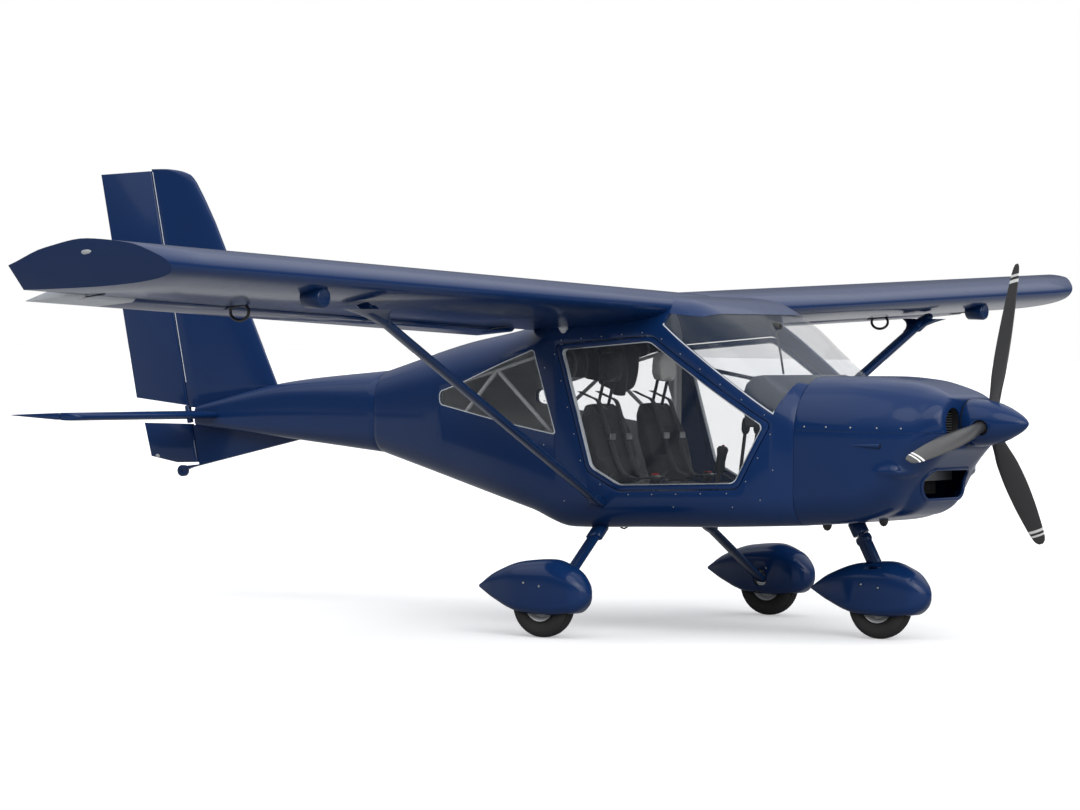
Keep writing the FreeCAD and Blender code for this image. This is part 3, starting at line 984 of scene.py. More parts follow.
@dataclass(frozen=True)
class Hull:
    """Body through cross-sections, each a rectangle with two lower and two upper corner radii.

    The columns of a section, in millimetres: x, half width, bottom, top, lower radius, upper radius.
    """

    sections: tuple[Section, ...]
    corner_steps: int = 8
    offset: Vector = field(default_factory=lambda: Vector((0, 0, 0)))

    def ring(self, x: float, inset: float = 0.0) -> list[Vector]:
        """Closed ring of points at x.

        Args:
            x: Station in millimetres.
            inset: Distance inside the outer face, in millimetres.

        Returns:
            Points in metres, all round.
        """
        rows = sorted(self.sections)
        xs = [row[0] for row in rows]
        half, low, high, r_low, r_high = (eased(xs, [row[k] for row in rows], x) for k in range(1, 6))
        half, low, high = half - inset, low + inset, high - inset
        a, b = max(min(r_low - inset, half - 0.5), 1.0), max(min(r_high - inset, half - 0.5), 1.0)
        corners = ((half - a, low + a, a, -90), (half - b, high - b, b, 0),
                   (b - half, high - b, b, 90), (a - half, low + a, a, 180))
        points = []
        for cy, cz, radius, start in corners:
            for k in range(self.corner_steps + 1):
                turn = math.radians(start + 90 * k / self.corner_steps)
                points.append(Vector((x, cy + radius * math.cos(turn), cz + radius * math.sin(turn))) * MM
                              + self.offset)
        return points

    def side_y(self, x: float, z: float) -> float:
        """Half width in millimetres at station x and height z, both in millimetres."""
        ring = self.ring(x)
        best = 0.0
        for a, b in zip(ring, ring[1:] + ring[:1]):
            if min(a.y, b.y) >= 0 and min(a.z, b.z) <= z * MM <= max(a.z, b.z) and a.z != b.z:
                best = max(best, a.y + (b.y - a.y) * (z * MM - a.z) / (b.z - a.z))
        return best / MM

    def solid(self, name: str, x_range: Row, inset: float = 0.0,
              step: float = 30.0) -> Object:
        """Closed body between two stations.

        Args:
            name: The piece's name.
            x_range: First and last station in millimetres.
            inset: Distance inside the outer face.
            step: Spacing of the rings.

        Returns:
            The body.
        """
        first, last = x_range
        count = max(int((last - first) / step), 1)
        return lofted(name, [self.ring(first + (last - first) * k / count, inset) for k in range(count + 1)])

    def clear(self, piece: Object, x_range: Row, step: float = 60.0) -> Object:
        """Take away what of a piece lies inside the body."""
        return combined(piece, self.solid("core", x_range, 0, step), Cut.TAKE_AWAY)

    def shell(self, name: str, x_range: Row, thick: float, step: float = 30.0) -> Object:
        """Skin of the body between two stations, open at both ends."""
        past = (x_range[0] - 15, x_range[1] + 15)
        core = self.solid("core", past, thick, step)
        return combined(self.solid(name, x_range, 0.0, step), core, Cut.TAKE_AWAY)


CABIN_FORM = Hull((
    (2060, 500, 605, 1395, 150, 300), (1830, 590, 595, 1530, 150, 290),
    (1600, 628, 585, 1690, 150, 270), (1360, 640, 577, 1800, 150, 250),
    (1150, 640, 570, 1820, 150, 240), (680, 640, 555, 1820, 150, 240),
    (400, 630, 640, 1660, 150, 230), (-200, 500, 775, 1545, 150, 220),
    (-830, 330, 915, 1385, 120, 160)))
BOOM_FORM = Hull(((-830, 330, 915, 1385, 120, 160), (-1600, 190, 975, 1310, 70, 90),
                  (-2380, 62, 1035, 1152, 25, 30)), corner_steps=6)
COWL_FORM = Hull((
    (2060, 500, 605, 1395, 150, 300), (2330, 488, 628, 1398, 160, 300), (2560, 440, 700, 1384, 180, 290),
    (2700, 385, 880, 1355, 190, 250), (2790, 335, 985, 1318, 140, 160), (2838, 300, 1030, 1290, 110, 120)),
    corner_steps=10)
CHIN_FORM = Hull((
    (2330, 300, 640, 900, 110, 60), (2560, 262, 668, 945, 110, 60), (2640, 248, 705, 940, 100, 60),
    (2684, 228, 750, 925, 80, 60)), corner_steps=8)


@dataclass
class Cabin:
    """Cabin shell with its doorways, windows, windscreen, seals, roof strip and lining."""

    wall: float = 24.0
    sheet: float = 4.0
    gap: float = 6.0
    doorway: tuple[Row, ...] = (
        (636, 1544), (1250, 1598), (1945, 1142), (1778, 798), (1045, 768), (845, 867))
    rear_window: tuple[Row, ...] = (
        (-258, 1202), (-262, 1276), (-48, 1337), (482, 1523), (642, 1055))
    screen: tuple[Row, ...] = (
        (1962, 1178), (1300, 1655), (1335, 1900), (2200, 1900), (2200, 1300), (2025, 1350))
    screw_pitch: float = 130.0
    lone_screws: tuple[Row, ...] = (
        (700, 700), (1400, 690), (1750, 700), (1900, 740), (1960, 900), (560, 1000), (560, 1240), (560, 1420))

    def side_cut(self, name: str, outline: Sequence[Row], grow: float, corner: float) -> Object:
        """Prism through both sides of the cabin, its outline grown by a distance.

        Args:
            name: The tool's name.
            outline: Corners (x, z) in millimetres.
            grow: Distance that each edge moves outwards.
            corner: Corner radius.

        Returns:
            The prism, on the port side.
        """
        return prism(name, grown(outline, grow), (220, 800), corner)

    def both_sides(self, piece: Object, tool: Object) -> Object:
        """Cut a piece with a tool and with its mirror image."""
        combined(piece, mirrored(tool, "other_side"), Cut.TAKE_AWAY)
        return combined(piece, tool, Cut.TAKE_AWAY)

    def screen_cut(self, grow: float = 0.0) -> Object:
        """Prism that holds the windscreen's region."""
        return prism("screen_region", grown(self.screen, grow), (-800, 800))

    def make_shell(self) -> None:
        """Painted shell with its openings."""
        shell = CABIN_FORM.shell("cabin_shell_skin", CABIN_RANGE, self.wall)
        self.both_sides(shell, self.side_cut("door_tool", self.doorway, self.gap, 30))
        self.both_sides(shell, self.side_cut("window_tool", self.rear_window, 0, 26))
        combined(shell, self.screen_cut(-10), Cut.TAKE_AWAY)
        smoothed(softened(shell, 2.5 * MM, 2, 40), 38)
        fixed(shell, Paints.SHELL, "blue_composite", "cabin_shell")

    def seal(self, name: str, outer: Object, inner: Object) -> Object:
        """Thin proud line on the cabin's skin between two outlines.

        Args:
            name: The piece's name.
            outer: Prism of the outer outline.
            inner: Prism of the inner outline.

        Returns:
            The seal.
        """
        line = CABIN_FORM.solid(name, CABIN_RANGE, -0.8, 24)
        combined(line, CABIN_FORM.solid("core", (-845, 2075), 5, 24), Cut.TAKE_AWAY)
        combined(line, outer, Cut.KEEP_SHARED)
        return smoothed(combined(line, inner, Cut.TAKE_AWAY))

    def make_seals(self) -> None:
        """Pale seals of the windscreen and rear windows, roof strip, and screws round the doors."""
        edge = self.seal("windscreen_seal", self.screen_cut(-9.5), self.screen_cut(-14))
        keep = prism("sides", ((1290, 1140), (1290, 1668), (1960, 1668), (1960, 1140)), (-800, 800))
        combined(edge, keep, Cut.KEEP_SHARED)
        fixed(edge, Paints.PALE_SEAL, "black_plastic")
        line = self.seal("rear_window_seal_left", self.side_cut("outer", self.rear_window, -0.3, 26),
                         self.side_cut("inner", self.rear_window, -5, 22))
        in_pairs(line, Paints.PALE_SEAL, "black_plastic")
        band = CABIN_FORM.solid("roof_strip", CABIN_RANGE, -0.6, 24)
        combined(band, CABIN_FORM.solid("core", (-845, 2075), 1.0, 24), Cut.TAKE_AWAY)
        region = prism("band_region", ((1290, 1722), (1335, 1900), (2000, 1900), (1500, 1704)), (-800, 800))
        combined(band, region, Cut.KEEP_SHARED)
        fixed(smoothed(band), Paints.SHELL, "blue_composite")
        spots = []
        outline = grown(self.doorway, 24)
        for (x0, z0), (x1, z1) in zip(outline, outline[1:] + outline[:1]):
            count = max(int(math.hypot(x1 - x0, z1 - z0) / self.screw_pitch), 1)
            shares = [(k + 0.5) / count for k in range(count)]
            spots += [(x0 + (x1 - x0) * t, z0 + (z1 - z0) * t, 0.1) for t in shares]
        spots += [(x, z, 0.05) for x, z in self.lone_screws]
        places = [(Vector((x, CABIN_FORM.side_y(x, z), z)) * MM, Vector((0, 1, up))) for x, z, up in spots]
        in_pairs(screws("cabin_screws_left", places, 3.6, 1.6), Paints.ZINC, "bare_alloy")

    def make_glazing(self) -> None:
        """Windscreen and rear windows as thin sheets."""
        sheet = CABIN_FORM.shell("windscreen_sheet", CABIN_RANGE, self.sheet, 24)
        window = copied(sheet, "rear_window_sheet_left")
        combined(sheet, self.screen_cut(), Cut.KEEP_SHARED)
        fixed(smoothed(sheet), Paints.SCREEN, "clear_glazing", "windscreen")
        combined(window, self.side_cut("window_tool", self.rear_window, 0, 26), Cut.KEEP_SHARED)
        in_pairs(smoothed(window), Paints.WINDOW, "clear_glazing", "rear_window")

    def make_lining(self) -> None:
        """Pale lining of the rear cabin, just inside the wall."""
        lining = CABIN_FORM.solid("cabin_lining", (-800, 640), self.wall + 1)
        combined(lining, CABIN_FORM.solid("core", (-780, 700), self.wall + 5), Cut.TAKE_AWAY)
        self.both_sides(lining, self.side_cut("window_tool", self.rear_window, 0, 20))
        self.both_sides(lining, self.side_cut("door_tool", self.doorway, 30, 20))
        fixed(smoothed(lining), Paints.WHITE_TUBE, "black_plastic")

    def build(self) -> None:
        """Make every piece of the cabin that doesn't open."""
        self.make_shell()
        self.make_glazing()
        self.make_seals()
        self.make_lining()
        dressed("cabin_floor", Paints.CARPET, "black_plastic", 2)
        dressed("firewall", Paints.ZINC, "bare_alloy", 1)


def grown(outline: Sequence[Row], by: float) -> list[Row]:
    """Move each edge of an outline outwards by a distance, corners kept sharp.

    Args:
        outline: Corners in order.
        by: Distance, negative for inwards.

    Returns:
        The moved corners.
    """
    area = sum(a[0] * b[1] - b[0] * a[1] for a, b in zip(outline, list(outline[1:]) + [outline[0]]))
    way = 1 if area > 0 else -1
    corners = [Vector(c) for c in outline]
    moved = []
    for i, corner in enumerate(corners):
        before = (corner - corners[i - 1]).normalized()
        after = (corners[(i + 1) % len(corners)] - corner).normalized()
        out_before, out_after = Vector((before.y, -before.x)) * way, Vector((after.y, -after.x)) * way
        middle = (out_before + out_after).normalized()
        moved.append(tuple(corner + middle * by / middle.dot(out_before)))
    return moved


@dataclass
class Doors:
    """Two top-hinged doors: a painted rim round one clear sheet, with a pale seal between."""

    cabin: Cabin
    rim: float = 26.0
    seal: float = 5.0
    corner: float = 26.0

    def build(self) -> None:
        """Make the port door and its mirror image."""
        skin = CABIN_FORM.shell("door_rim_left", (500, 2060), self.cabin.wall, 24)
        sheet = CABIN_FORM.shell("door_sheet_left", (500, 2060), self.cabin.sheet, 24)
        seal = copied(skin, "door_seal_left")
        combined(skin, self.region(0), Cut.KEEP_SHARED)
        combined(skin, self.region(-self.rim), Cut.TAKE_AWAY)
        combined(sheet, self.region(-self.rim + 4), Cut.KEEP_SHARED)
        combined(seal, self.region(-self.rim - 0.4), Cut.KEEP_SHARED)
        combined(seal, self.region(-self.rim - self.seal), Cut.TAKE_AWAY)
        for piece, paint, slot, stem in (
                (softened(skin, 2 * MM, 2, 40), Paints.SHELL, "blue_composite", "door_frame"),
                (sheet, Paints.WINDOW, "clear_glazing", "door_glass"),
                (seal, Paints.PALE_SEAL, "black_plastic", "")):
            in_pairs(smoothed(piece), paint, slot, stem, "door_{side}")

    def region(self, grow: float) -> Object:
        """Prism of the door's outline, grown by a distance."""
        return self.cabin.side_cut("door_region", self.cabin.doorway, grow, self.corner)


@dataclass
class Cowl:
    """Upper and lower engine cowl with round intakes, a wide scoop and a split line."""

    skin: float = 10.0
    split_z: float = 1110.0
    split_gap: float = 1.4
    x_range: Row = (2062.0, 2838.0)
    intake: Row = (185.0, 80.0)
    shaft_r: float = 95.0
    scoop: Five = (222.0, 758.0, 914.0, 74.0, 64.0)
    screw_xs: tuple[float, ...] = (2120.0, 2250.0, 2390.0, 2530.0, 2650.0)
    # middle of each ring, its half width and half height
    brow: tuple[Five, ...] = (
        (2460, 436, 898, 4, 3), (2500, 436, 900, 16, 12), (2560, 426, 905, 27, 25), (2620, 404, 908, 33, 32),
        (2650, 385, 903, 28, 26), (2680, 340, 898, 20, 16), (2700, 300, 896, 5, 4))
    # station, half height and depth of the side gill
    gill: tuple[Triple, ...] = (
        (2390, 1.5, 1), (2430, 6, 5), (2480, 10, 11), (2530, 13, 15), (2552, 13, 16))
    gill_z: float = 1040.0
    front: Object | None = None

    def body(self) -> Object:
        """Nose and scoop run into each other, with a raised brow above the scoop on each side."""
        first, last = self.x_range
        whole = COWL_FORM.solid("cowl_upper_skin", (first - 20, last), 0, 16)
        combined(whole, CHIN_FORM.solid("chin", (2335, 2684), 0, 14), Cut.JOIN)
        for side in (-1, 1):
            rings = [[mm(x, side * y, z) + mm(0, across * math.cos(a), tall * math.sin(a))
                      for a in circle(14)] for x, y, z, across, tall in self.brow]
            combined(whole, lofted("brow", rings), Cut.JOIN)
        with_modifier(whole, "REMESH", mode="VOXEL", voxel_size=10 * MM)
        with_modifier(whole, "SMOOTH", factor=0.5, iterations=14)
        return whole

    def rim_path(self) -> list[Vector]:
        """Middle line of the rounded lip round the scoop's mouth, on the cowl's face."""
        path = []
        for place in Hull(((0, *self.scoop), (1, *self.scoop)), 10).ring(0, -4):
            hit, at, _, _ = self.front.ray_cast(Vector((3.1, place.y, place.z)), Vector((-1, 0, 0)))
            if hit:
                path.append(at - Vector((0.002, 0, 0)))
        return path + path[:1]

    def openings(self, whole: Object) -> None:
        """Cut the two round intakes, the shaft hole and the scoop's mouth."""
        intake_y, intake_r = self.intake
        for y, radius in ((intake_y, intake_r), (-intake_y, intake_r), (0, self.shaft_r)):
            start = Vector((2.69, y * MM, PROP_Z))
            combined(whole, rod("hole", start, start + Vector((0.3, 0, 0)), radius * MM, 56), Cut.TAKE_AWAY)
        mouth = Hull(tuple((x, *self.scoop) for x in (2560, 2800)))
        combined(whole, mouth.solid("mouth", (2560, 2800), step=300), Cut.TAKE_AWAY)

    def details(self) -> None:
        """Ducts, partly black as painted shade, lip, radiator, screws, side gills with painted shade in their
        mouths, and the drain nubs below.
        """
        intake_y, intake_r = self.intake
        lip = tube("cowl_mouth_lip", self.rim_path(), 0.0105, 14)
        fixed(smoothed(lip, 70), Paints.SHELL, "blue_composite")
        fins = [block("head_fin", Vector((2.745, side * intake_y * MM - 0.058, PROP_Z - 0.062 + 0.0135 * k)),
                      Vector((2.800, side * intake_y * MM + 0.058, PROP_Z - 0.057 + 0.0135 * k)), 1 * MM, 1)
                for side in (-1, 1) for k in range(9)]
        fixed(joined("cylinder_head_fins", fins), Paints.CAST, "bare_alloy")
        # The intake ducts and shaft collar are real parts, painted black partly as shade inside the intakes.
        wall = [(x, intake_r + more) for x, more in ((2700, 1), (2826, 1), (2826, -3), (2700, -8))]
        ducts = [turned("intake_duct", wall, Vector((0, side * intake_y * MM, PROP_Z)), AHEAD, 48)
                 for side in (-1, 1)]
        collar = turned("shaft_collar", ((2700, 96), (2838, 96), (2838, 90), (2700, 88)),
                        Vector((0, 0, PROP_Z)), AHEAD, 56)
        fixed(smoothed(joined("intake_ducts", ducts + [collar])), Paints.BLACK_SEAL_AND_SHADE, "black_plastic")
        radiator = block("radiator", Vector((2.50, -0.19, 0.775)), Vector((2.53, 0.19, 0.90)), 4 * MM)
        fins = [block("fin_row", Vector((2.527, -0.185, 0.785 + 0.009 * k)),
                      Vector((2.534, 0.185, 0.789 + 0.009 * k)), 0.8 * MM, 1) for k in range(12)]
        fixed(joined("radiator_core", [radiator] + fins), Paints.BLACK_SEAL_AND_SHADE, "black_plastic")
        z = self.split_z + 22
        places = [(mm(x, side * COWL_FORM.side_y(x, z), z), Vector((0, side, 0)))
                  for side in (-1, 1) for x in self.screw_xs]
        fixed(screws("cowl_screws", places, 5.5, 3.0), Paints.ZINC, "bare_alloy")
        half_turn = [math.pi * k / 10 for k in range(11)]
        rings = [[mm(x, COWL_FORM.side_y(x, self.gill_z) - 1, self.gill_z)
                  + mm(0, deep * math.sin(a), tall * math.cos(a)) for a in half_turn]
                 for x, tall, deep in self.gill]
        in_pairs(smoothed(lofted("cowl_gill_left", rings), 50), Paints.SHELL, "blue_composite")
        mouth_x, out = self.gill[-1][0], COWL_FORM.side_y(self.gill[-1][0], self.gill_z)
        # A thin black block across each gill's mouth is painted shade, standing in for the dark opening.
        dark = block("gill_slot_left", mm(mouth_x - 0.5, out - 12, self.gill_z - 9),
                     mm(mouth_x + 1.5, out + 12, self.gill_z + 9), 0.5 * MM)
        in_pairs(dark, Paints.BLACK_SEAL_AND_SHADE, "black_plastic")
        knob = ((0, 0.5), (0, 26), (18, 23), (32, 14), (37, 0.5))
        nubs = [turned("nub", knob, place, Vector((0, 0, -1)), 24)
                for place in (mm(2100, -210, 611), mm(2375, -90, 640))]
        fixed(smoothed(joined("drain_nubs", nubs), 50), Paints.BLACK_ABS, "black_plastic")

    def build(self) -> None:
        """Make the two halves, then what is fixed on them."""
        whole = self.body()
        self.front = copied(whole, "front_guide")
        core = COWL_FORM.solid("core", (2000, 2826), self.skin, 30)
        combined(core, CHIN_FORM.solid("chin_core", (2345, 2672), self.skin, 30), Cut.JOIN)
        combined(whole, core, Cut.TAKE_AWAY)
        self.openings(whole)
        lower = copied(whole, "cowl_lower_skin")
        edge = self.split_gap / 2
        for half, cad, low, high in ((whole, "cowl_upper", self.split_z + edge, 1600),
                                     (lower, "cowl_lower", 500, self.split_z - edge)):
            region = block("half", mm(self.x_range[0], -700, low), mm(3000, 700, high), 0.5 * MM, 1)
            combined(half, region, Cut.KEEP_SHARED)
            softened(half, 1.6 * MM, 2, 50)
            fixed(smoothed(half, 42), Paints.SHELL, "blue_composite", cad)
        self.details()
        bpy.data.objects.remove(self.front)
        dressed("engine", Paints.CAST, "steel", 8)


@dataclass
class Boom:
    """Tail boom behind the cabin."""

    skin: float = 10.0

    def build(self) -> None:
        """Make the boom's skin."""
        boom = BOOM_FORM.shell("tail_boom_skin", BOOM_RANGE, self.skin, 60)
        smoothed(softened(boom, 2 * MM, 2, 45), 40)
        fixed(boom, Paints.SHELL, "blue_alloy", "tail_boom")


@dataclass
class Propeller:
    """Pointed spinner with dark root holes, its back plate, and three coarse blades."""

    lean: float = 18.0
    hub: Vector = field(default_factory=lambda: Vector((2.955, 0, PROP_Z)))
    length: float = 332.5
    # distance behind the tip, radius
    spinner_form: tuple[Row, ...] = (
        (0, 0.5), (2, 6), (8, 15), (20, 28.5), (40, 44), (70, 62), (112, 84), (160, 103), (215, 117),
        (275, 124.5), (330, 126), (332.5, 124.5))
    # radius, chord, thickness, pitch in degrees
    blade_form: tuple[tuple[float, float, float, float], ...] = (
        (60, 56, 46, 76), (170, 80, 34, 72), (300, 114, 24, 68), (440, 122, 18, 65), (580, 114, 14, 63),
        (720, 94, 10, 61), (820, 74, 8, 60), (862, 54, 6, 60), (880, 26, 5, 60))

    def blade(self, name: str) -> Object:
        """One blade that points straight up: arched face forward, flat face aft."""
        rows = self.blade_form
        radii = [row[0] for row in rows]
        rings = []
        count = 44
        for k in range(count + 1):
            radius = radii[0] + (radii[-1] - radii[0]) * (1 - (1 - k / count) ** 1.5)
            chord, thick, pitch = (eased(radii, [row[c] for row in rows], radius) for c in (1, 2, 3))
            turn = Quaternion((0, 0, 1), math.radians(pitch))
            ring = []
            for a in circle(28):
                full = math.sqrt(max(0.0, 1 - (math.cos(a) * 0.99) ** 2))
                lift = thick * full * (0.78 if math.sin(a) > 0 else -0.22)
                ring.append(turn @ mm(lift, math.cos(a) * chord / 2, 0) + mm(0, 0, radius))
            rings.append(ring)
        return lofted(name, rings)

    def build(self) -> None:
        """Spinner, back plate, blades and the dark sockets at their roots."""
        tip = Vector((SPINNER_HIGH.x, 0, PROP_Z))
        outer = [(-back, r) for back, r in self.spinner_form]
        inner = [(-self.length, 120), (-200, 108), (-80, 58), (-8, 0.5)]
        spinner = turned("spinner_shell", outer + inner, tip, AHEAD, 96)
        blades = []
        for k in range(3):
            way = Matrix.Rotation(-math.radians(self.lean + 120 * k), 4, "X")
            blade = self.blade(f"blade_{k + 1}")
            blade.data.transform(Matrix.Translation(self.hub) @ way)
            blades.append(blade)
            out = way @ UPWARD
            hole = rod("root_hole", self.hub + out * 0.07, self.hub + out * 0.17, 0.042, 40)
            combined(spinner, hole, Cut.TAKE_AWAY)
        smoothed(softened(spinner, 1 * MM, 2, 50), 40)
        fitted(spinner, Paints.SHELL, "propeller", "blue_composite", "spinner")
        back = -self.length
        plate = turned("spinner_back_plate", ((back - 7, 0.5), (back - 7, 123), (back - 1, 124), (back, 118),
                                              (-240, 104), (-150, 84), (-150, 0.5)), tip, AHEAD, 64)
        fitted(smoothed(plate), Paints.BLACK_SEAL_AND_SHADE, "propeller", "black_plastic")
        fan = joined("propeller_blade_set", blades)
        fitted(smoothed(fan, 50), Paints.BLADE, "propeller", "blade_composite", "propeller_blades")


# ------------------------------------------------------------------ wing and struts
@dataclass
class Wing:
    """High wing: smooth section, slanting tip, lamp, flaperon on black arms, strut with cuffs."""

    root: Vector = field(default_factory=lambda: Vector((1313, 600, 1755)))
    taper: float = 190.0 / 3880.0
    dihedral: float = 0.0389
    rear_x: float = 413.0
    # share of the chord, height above the leading edge
    top: tuple[Row, ...] = ((0.0, 0), (0.055, 52), (0.17, 92), (0.40, 106), (0.70, 61), (1.0, -22))
    belly: tuple[Row, ...] = ((0.0, 0), (0.055, -44), (0.5, -104), (1.0, -130))
    tip_at: float = 4772.0
    tip_normal: Vector = field(default_factory=lambda: Vector((0.456, 1.0, -0.96)))
    flap_axis: Row = (372.0, -118.0)
    flap_rear: Row = (143.0, -166.0)
    flap_span: Row = (690.0, 4350.0)
    # span station where the flaperon's pale painted ground reflection begins
    pale_from: float = 3850.0
    hinge_ys: tuple[float, ...] = (900.0, 2000.0, 3150.0, 4200.0)
    strut: tuple[Vector, Vector] = field(
        default_factory=lambda: (Vector((925, 630, 690)), Vector((986, 2800, 1722))))
    # distance below the strut's top, half length and half width of the fairing there
    fairing: tuple[Triple, ...] = (
        (200, 42, 30), (150, 50, 36), (105, 68, 44), (60, 98, 54), (10, 150, 66))

    def lead(self, y: float) -> Vector:
        """Leading edge at y, in millimetres."""
        return Vector((self.root.x - (y - self.root.y) * self.taper, y,
                       self.root.z + (y - self.root.y) * self.dihedral))

    def ring(self, y: float) -> list[Vector]:
        """Section of the fixed wing at y."""
        lead = self.lead(y)
        chord = lead.x - self.rear_x
        points = []
        for table, shares in ((self.top, [k / 30 for k in range(30, 0, -1)]),
                              (self.belly, [k / 22 for k in range(23)])):
            ts = [math.sqrt(share) for share, _ in table]
            ups = [up for _, up in table]
            points += [(lead + Vector((-chord * t * t, 0, eased(ts, ups, t)))) * MM for t in shares]
        return points

    def skin(self) -> Object:
        """Port wing, cut at the tip by a slanting plane and at the root by the cabin."""
        wing = lofted("wing_left_skin", [self.ring(y) for y in (2, 300, 1500, 3000, 4200, 4960)])
        corner = mm(self.rear_x, self.tip_at, self.root.z + 4175 * self.dihedral - 22)
        with editing(wing):
            bpy.ops.mesh.bisect(plane_co=corner, plane_no=self.tip_normal.normalized(), use_fill=True,
                                clear_outer=True)
        CABIN_FORM.clear(wing, CABIN_RANGE, 30)
        softened(wing, 5 * MM, 3, 30)
        return smoothed(wing, 25)

    def flap_point(self, y: float, place: Row) -> Vector:
        """Point at y on a spanwise line: x, and height above the leading edge."""
        return Vector((place[0], y, self.lead(y).z + place[1])) * MM

    def flap(self, name: str, reach: Row) -> Object:
        """Part of the port flaperon, with a slot at each hinge in it.

        Args:
            name: The piece's name.
            reach: Span stations of its ends.

        Returns:
            The piece.
        """
        span = Vector((0, 1, self.dihedral)).normalized()
        rise = AHEAD.cross(span)
        flap = lofted(name, [hinged(self.flap_point(y, self.flap_axis), self.flap_point(y, self.flap_rear),
                                    0.028, rise, 0.002) for y in reach])
        for y in self.hinge_ys:
            if reach[0] < y < reach[1]:
                c = self.flap_point(y, self.flap_axis)
                slot = block("slot", c + mm(-34, -9, -60), c + mm(60, 9, 60), 0.5 * MM, 1)
                combined(flap, slot, Cut.TAKE_AWAY)
        softened(flap, 1.2 * MM, 2, 40)
        return smoothed(flap, 30)

    def strut_bar(self) -> Object:
        """Streamlined strut from the belly to the wing, with a cuff at each end."""
        low, high = self.strut
        length = (high - low).length
        pieces = [faired("strut_left_bar", low, high, (40, 19), (-30, length + 30)),
                  faired("foot_cuff", low, high, (40, 19), (8, 120), 6),
                  faired("top_cuff", low, high, (40, 19), (length - 150, length - 10), 9)]
        way = (high - low) / length
        rings = [round_ring((high - way * back) * MM, mm(half, 0, 0), mm(0, wide, 0), 32)
                 for back, half, wide in self.fairing]
        pieces.append(lofted("top_fairing", rings))
        tools = [CABIN_FORM.solid("cabin_core", CABIN_RANGE, 0, 60),
                 lofted("wing_core", [self.ring(y) for y in (2, 4960)])]
        for piece in pieces:
            for tool in tools:
                combined(piece, tool, Cut.TAKE_AWAY, keep_tool=True)
        for tool in tools:
            bpy.data.objects.remove(tool)
        return smoothed(joined("strut_left_bar", pieces), 40)

    def small_pieces(self) -> None:
        """Black arms at the hinges, one ring, brackets, drum, tip lamp, root lens and strut bolts."""
        arms = []
        for y in self.hinge_ys:
            c = self.flap_point(y, self.flap_axis)
            arms.append(rod("stay", c + Vector((0.024, 0, 0.004)), c + Vector((0.120, 0, 0.006)), 0.006, 10))
            arms.append(rod("push_rod", c + mm(20, 4, -20), c + mm(150, 20, -6), 0.0035, 8))
        eye = round_ring(Vector((0.468, self.hinge_ys[2] * MM, 1.697)), AHEAD * 0.058, UPWARD * 0.042, 32)
        arms.append(tube("ring", eye + eye[:1], 0.008))
        in_pairs(smoothed(joined("hinge_arms_left", arms), 50), Paints.BLACK_ABS, "black_plastic")
        for side in ("left", "right"):
            dressed(f"flaperon_brackets_{side}", Paints.BLACK_ABS, "blue_alloy", 1)
        can = ((-60, 0.5), (-60, 40), (-50, 50), (50, 52), (62, 46), (64, 38), (52, 0.5))
        drum = turned("wing_lamp_drum_left", can, Vector((1.06, 3.31, 1.768)), AHEAD, 40)
        in_pairs(smoothed(drum, 50), Paints.METAL_PAINT, "blue_alloy")
        bulb = ((-58, 0.5), (-46, 9), (-20, 19), (8, 22), (30, 17), (44, 8), (50, 0.5))
        lamp = turned("tip_lamp_left", bulb, Vector((0.77, 4.652, 1.968)), Vector((1, -0.05, 0.02)), 28)
        in_pairs(smoothed(lamp, 60), Paints.ACRYLIC, "clear_glazing")
        lens_rings = []
        for k in range(13):
            z = 1676 - 5.6 * k
            bulge = 1.0 + (0.10 if k % 2 else 0.0)
            size = (1.0 if k < 9 else 1.0 - 0.16 * (k - 8)) * bulge
            lens_rings.append(round_ring(mm(697, 662, z), mm(26 * size, 0, 0), mm(0, 22 * size, 0), 24))
        in_pairs(smoothed(lofted("root_lens_left", lens_rings), 40), Paints.ACRYLIC, "clear_glazing")
        low = self.strut[0]
        places = [((low + Vector((dx, 26 + dy, 26 + dz))) * MM, Vector((0, 1, -0.3)))
                  for dx, dy, dz in ((-30, 14, -14), (30, 14, -14), (-14, 34, 4), (20, 40, 8))]
        in_pairs(screws("strut_bolts_left", places, 6.5, 5), Paints.ZINC, "steel")

    def build(self) -> None:
        """Make both wings with all that hangs on them."""
        in_pairs(self.skin(), Paints.COVERING, "blue_covering", "wing")
        main = self.flap("flaperon_left_skin", (self.flap_span[0], self.pale_from))
        in_pairs(main, Paints.COVERING, "blue_covering", "flaperon", "flaperon_{side}")
        # The flaperon's end bay is painted pale grey as a reflection of the lit ground.
        bay = self.flap("flaperon_end_left", (self.pale_from + 0.6, self.flap_span[1]))
        in_pairs(bay, Paints.PALE_GROUND_REFLECTION, "blue_covering", body="flaperon_{side}")
        in_pairs(self.strut_bar(), Paints.METAL_PAINT, "blue_alloy", "strut")
        self.small_pieces()


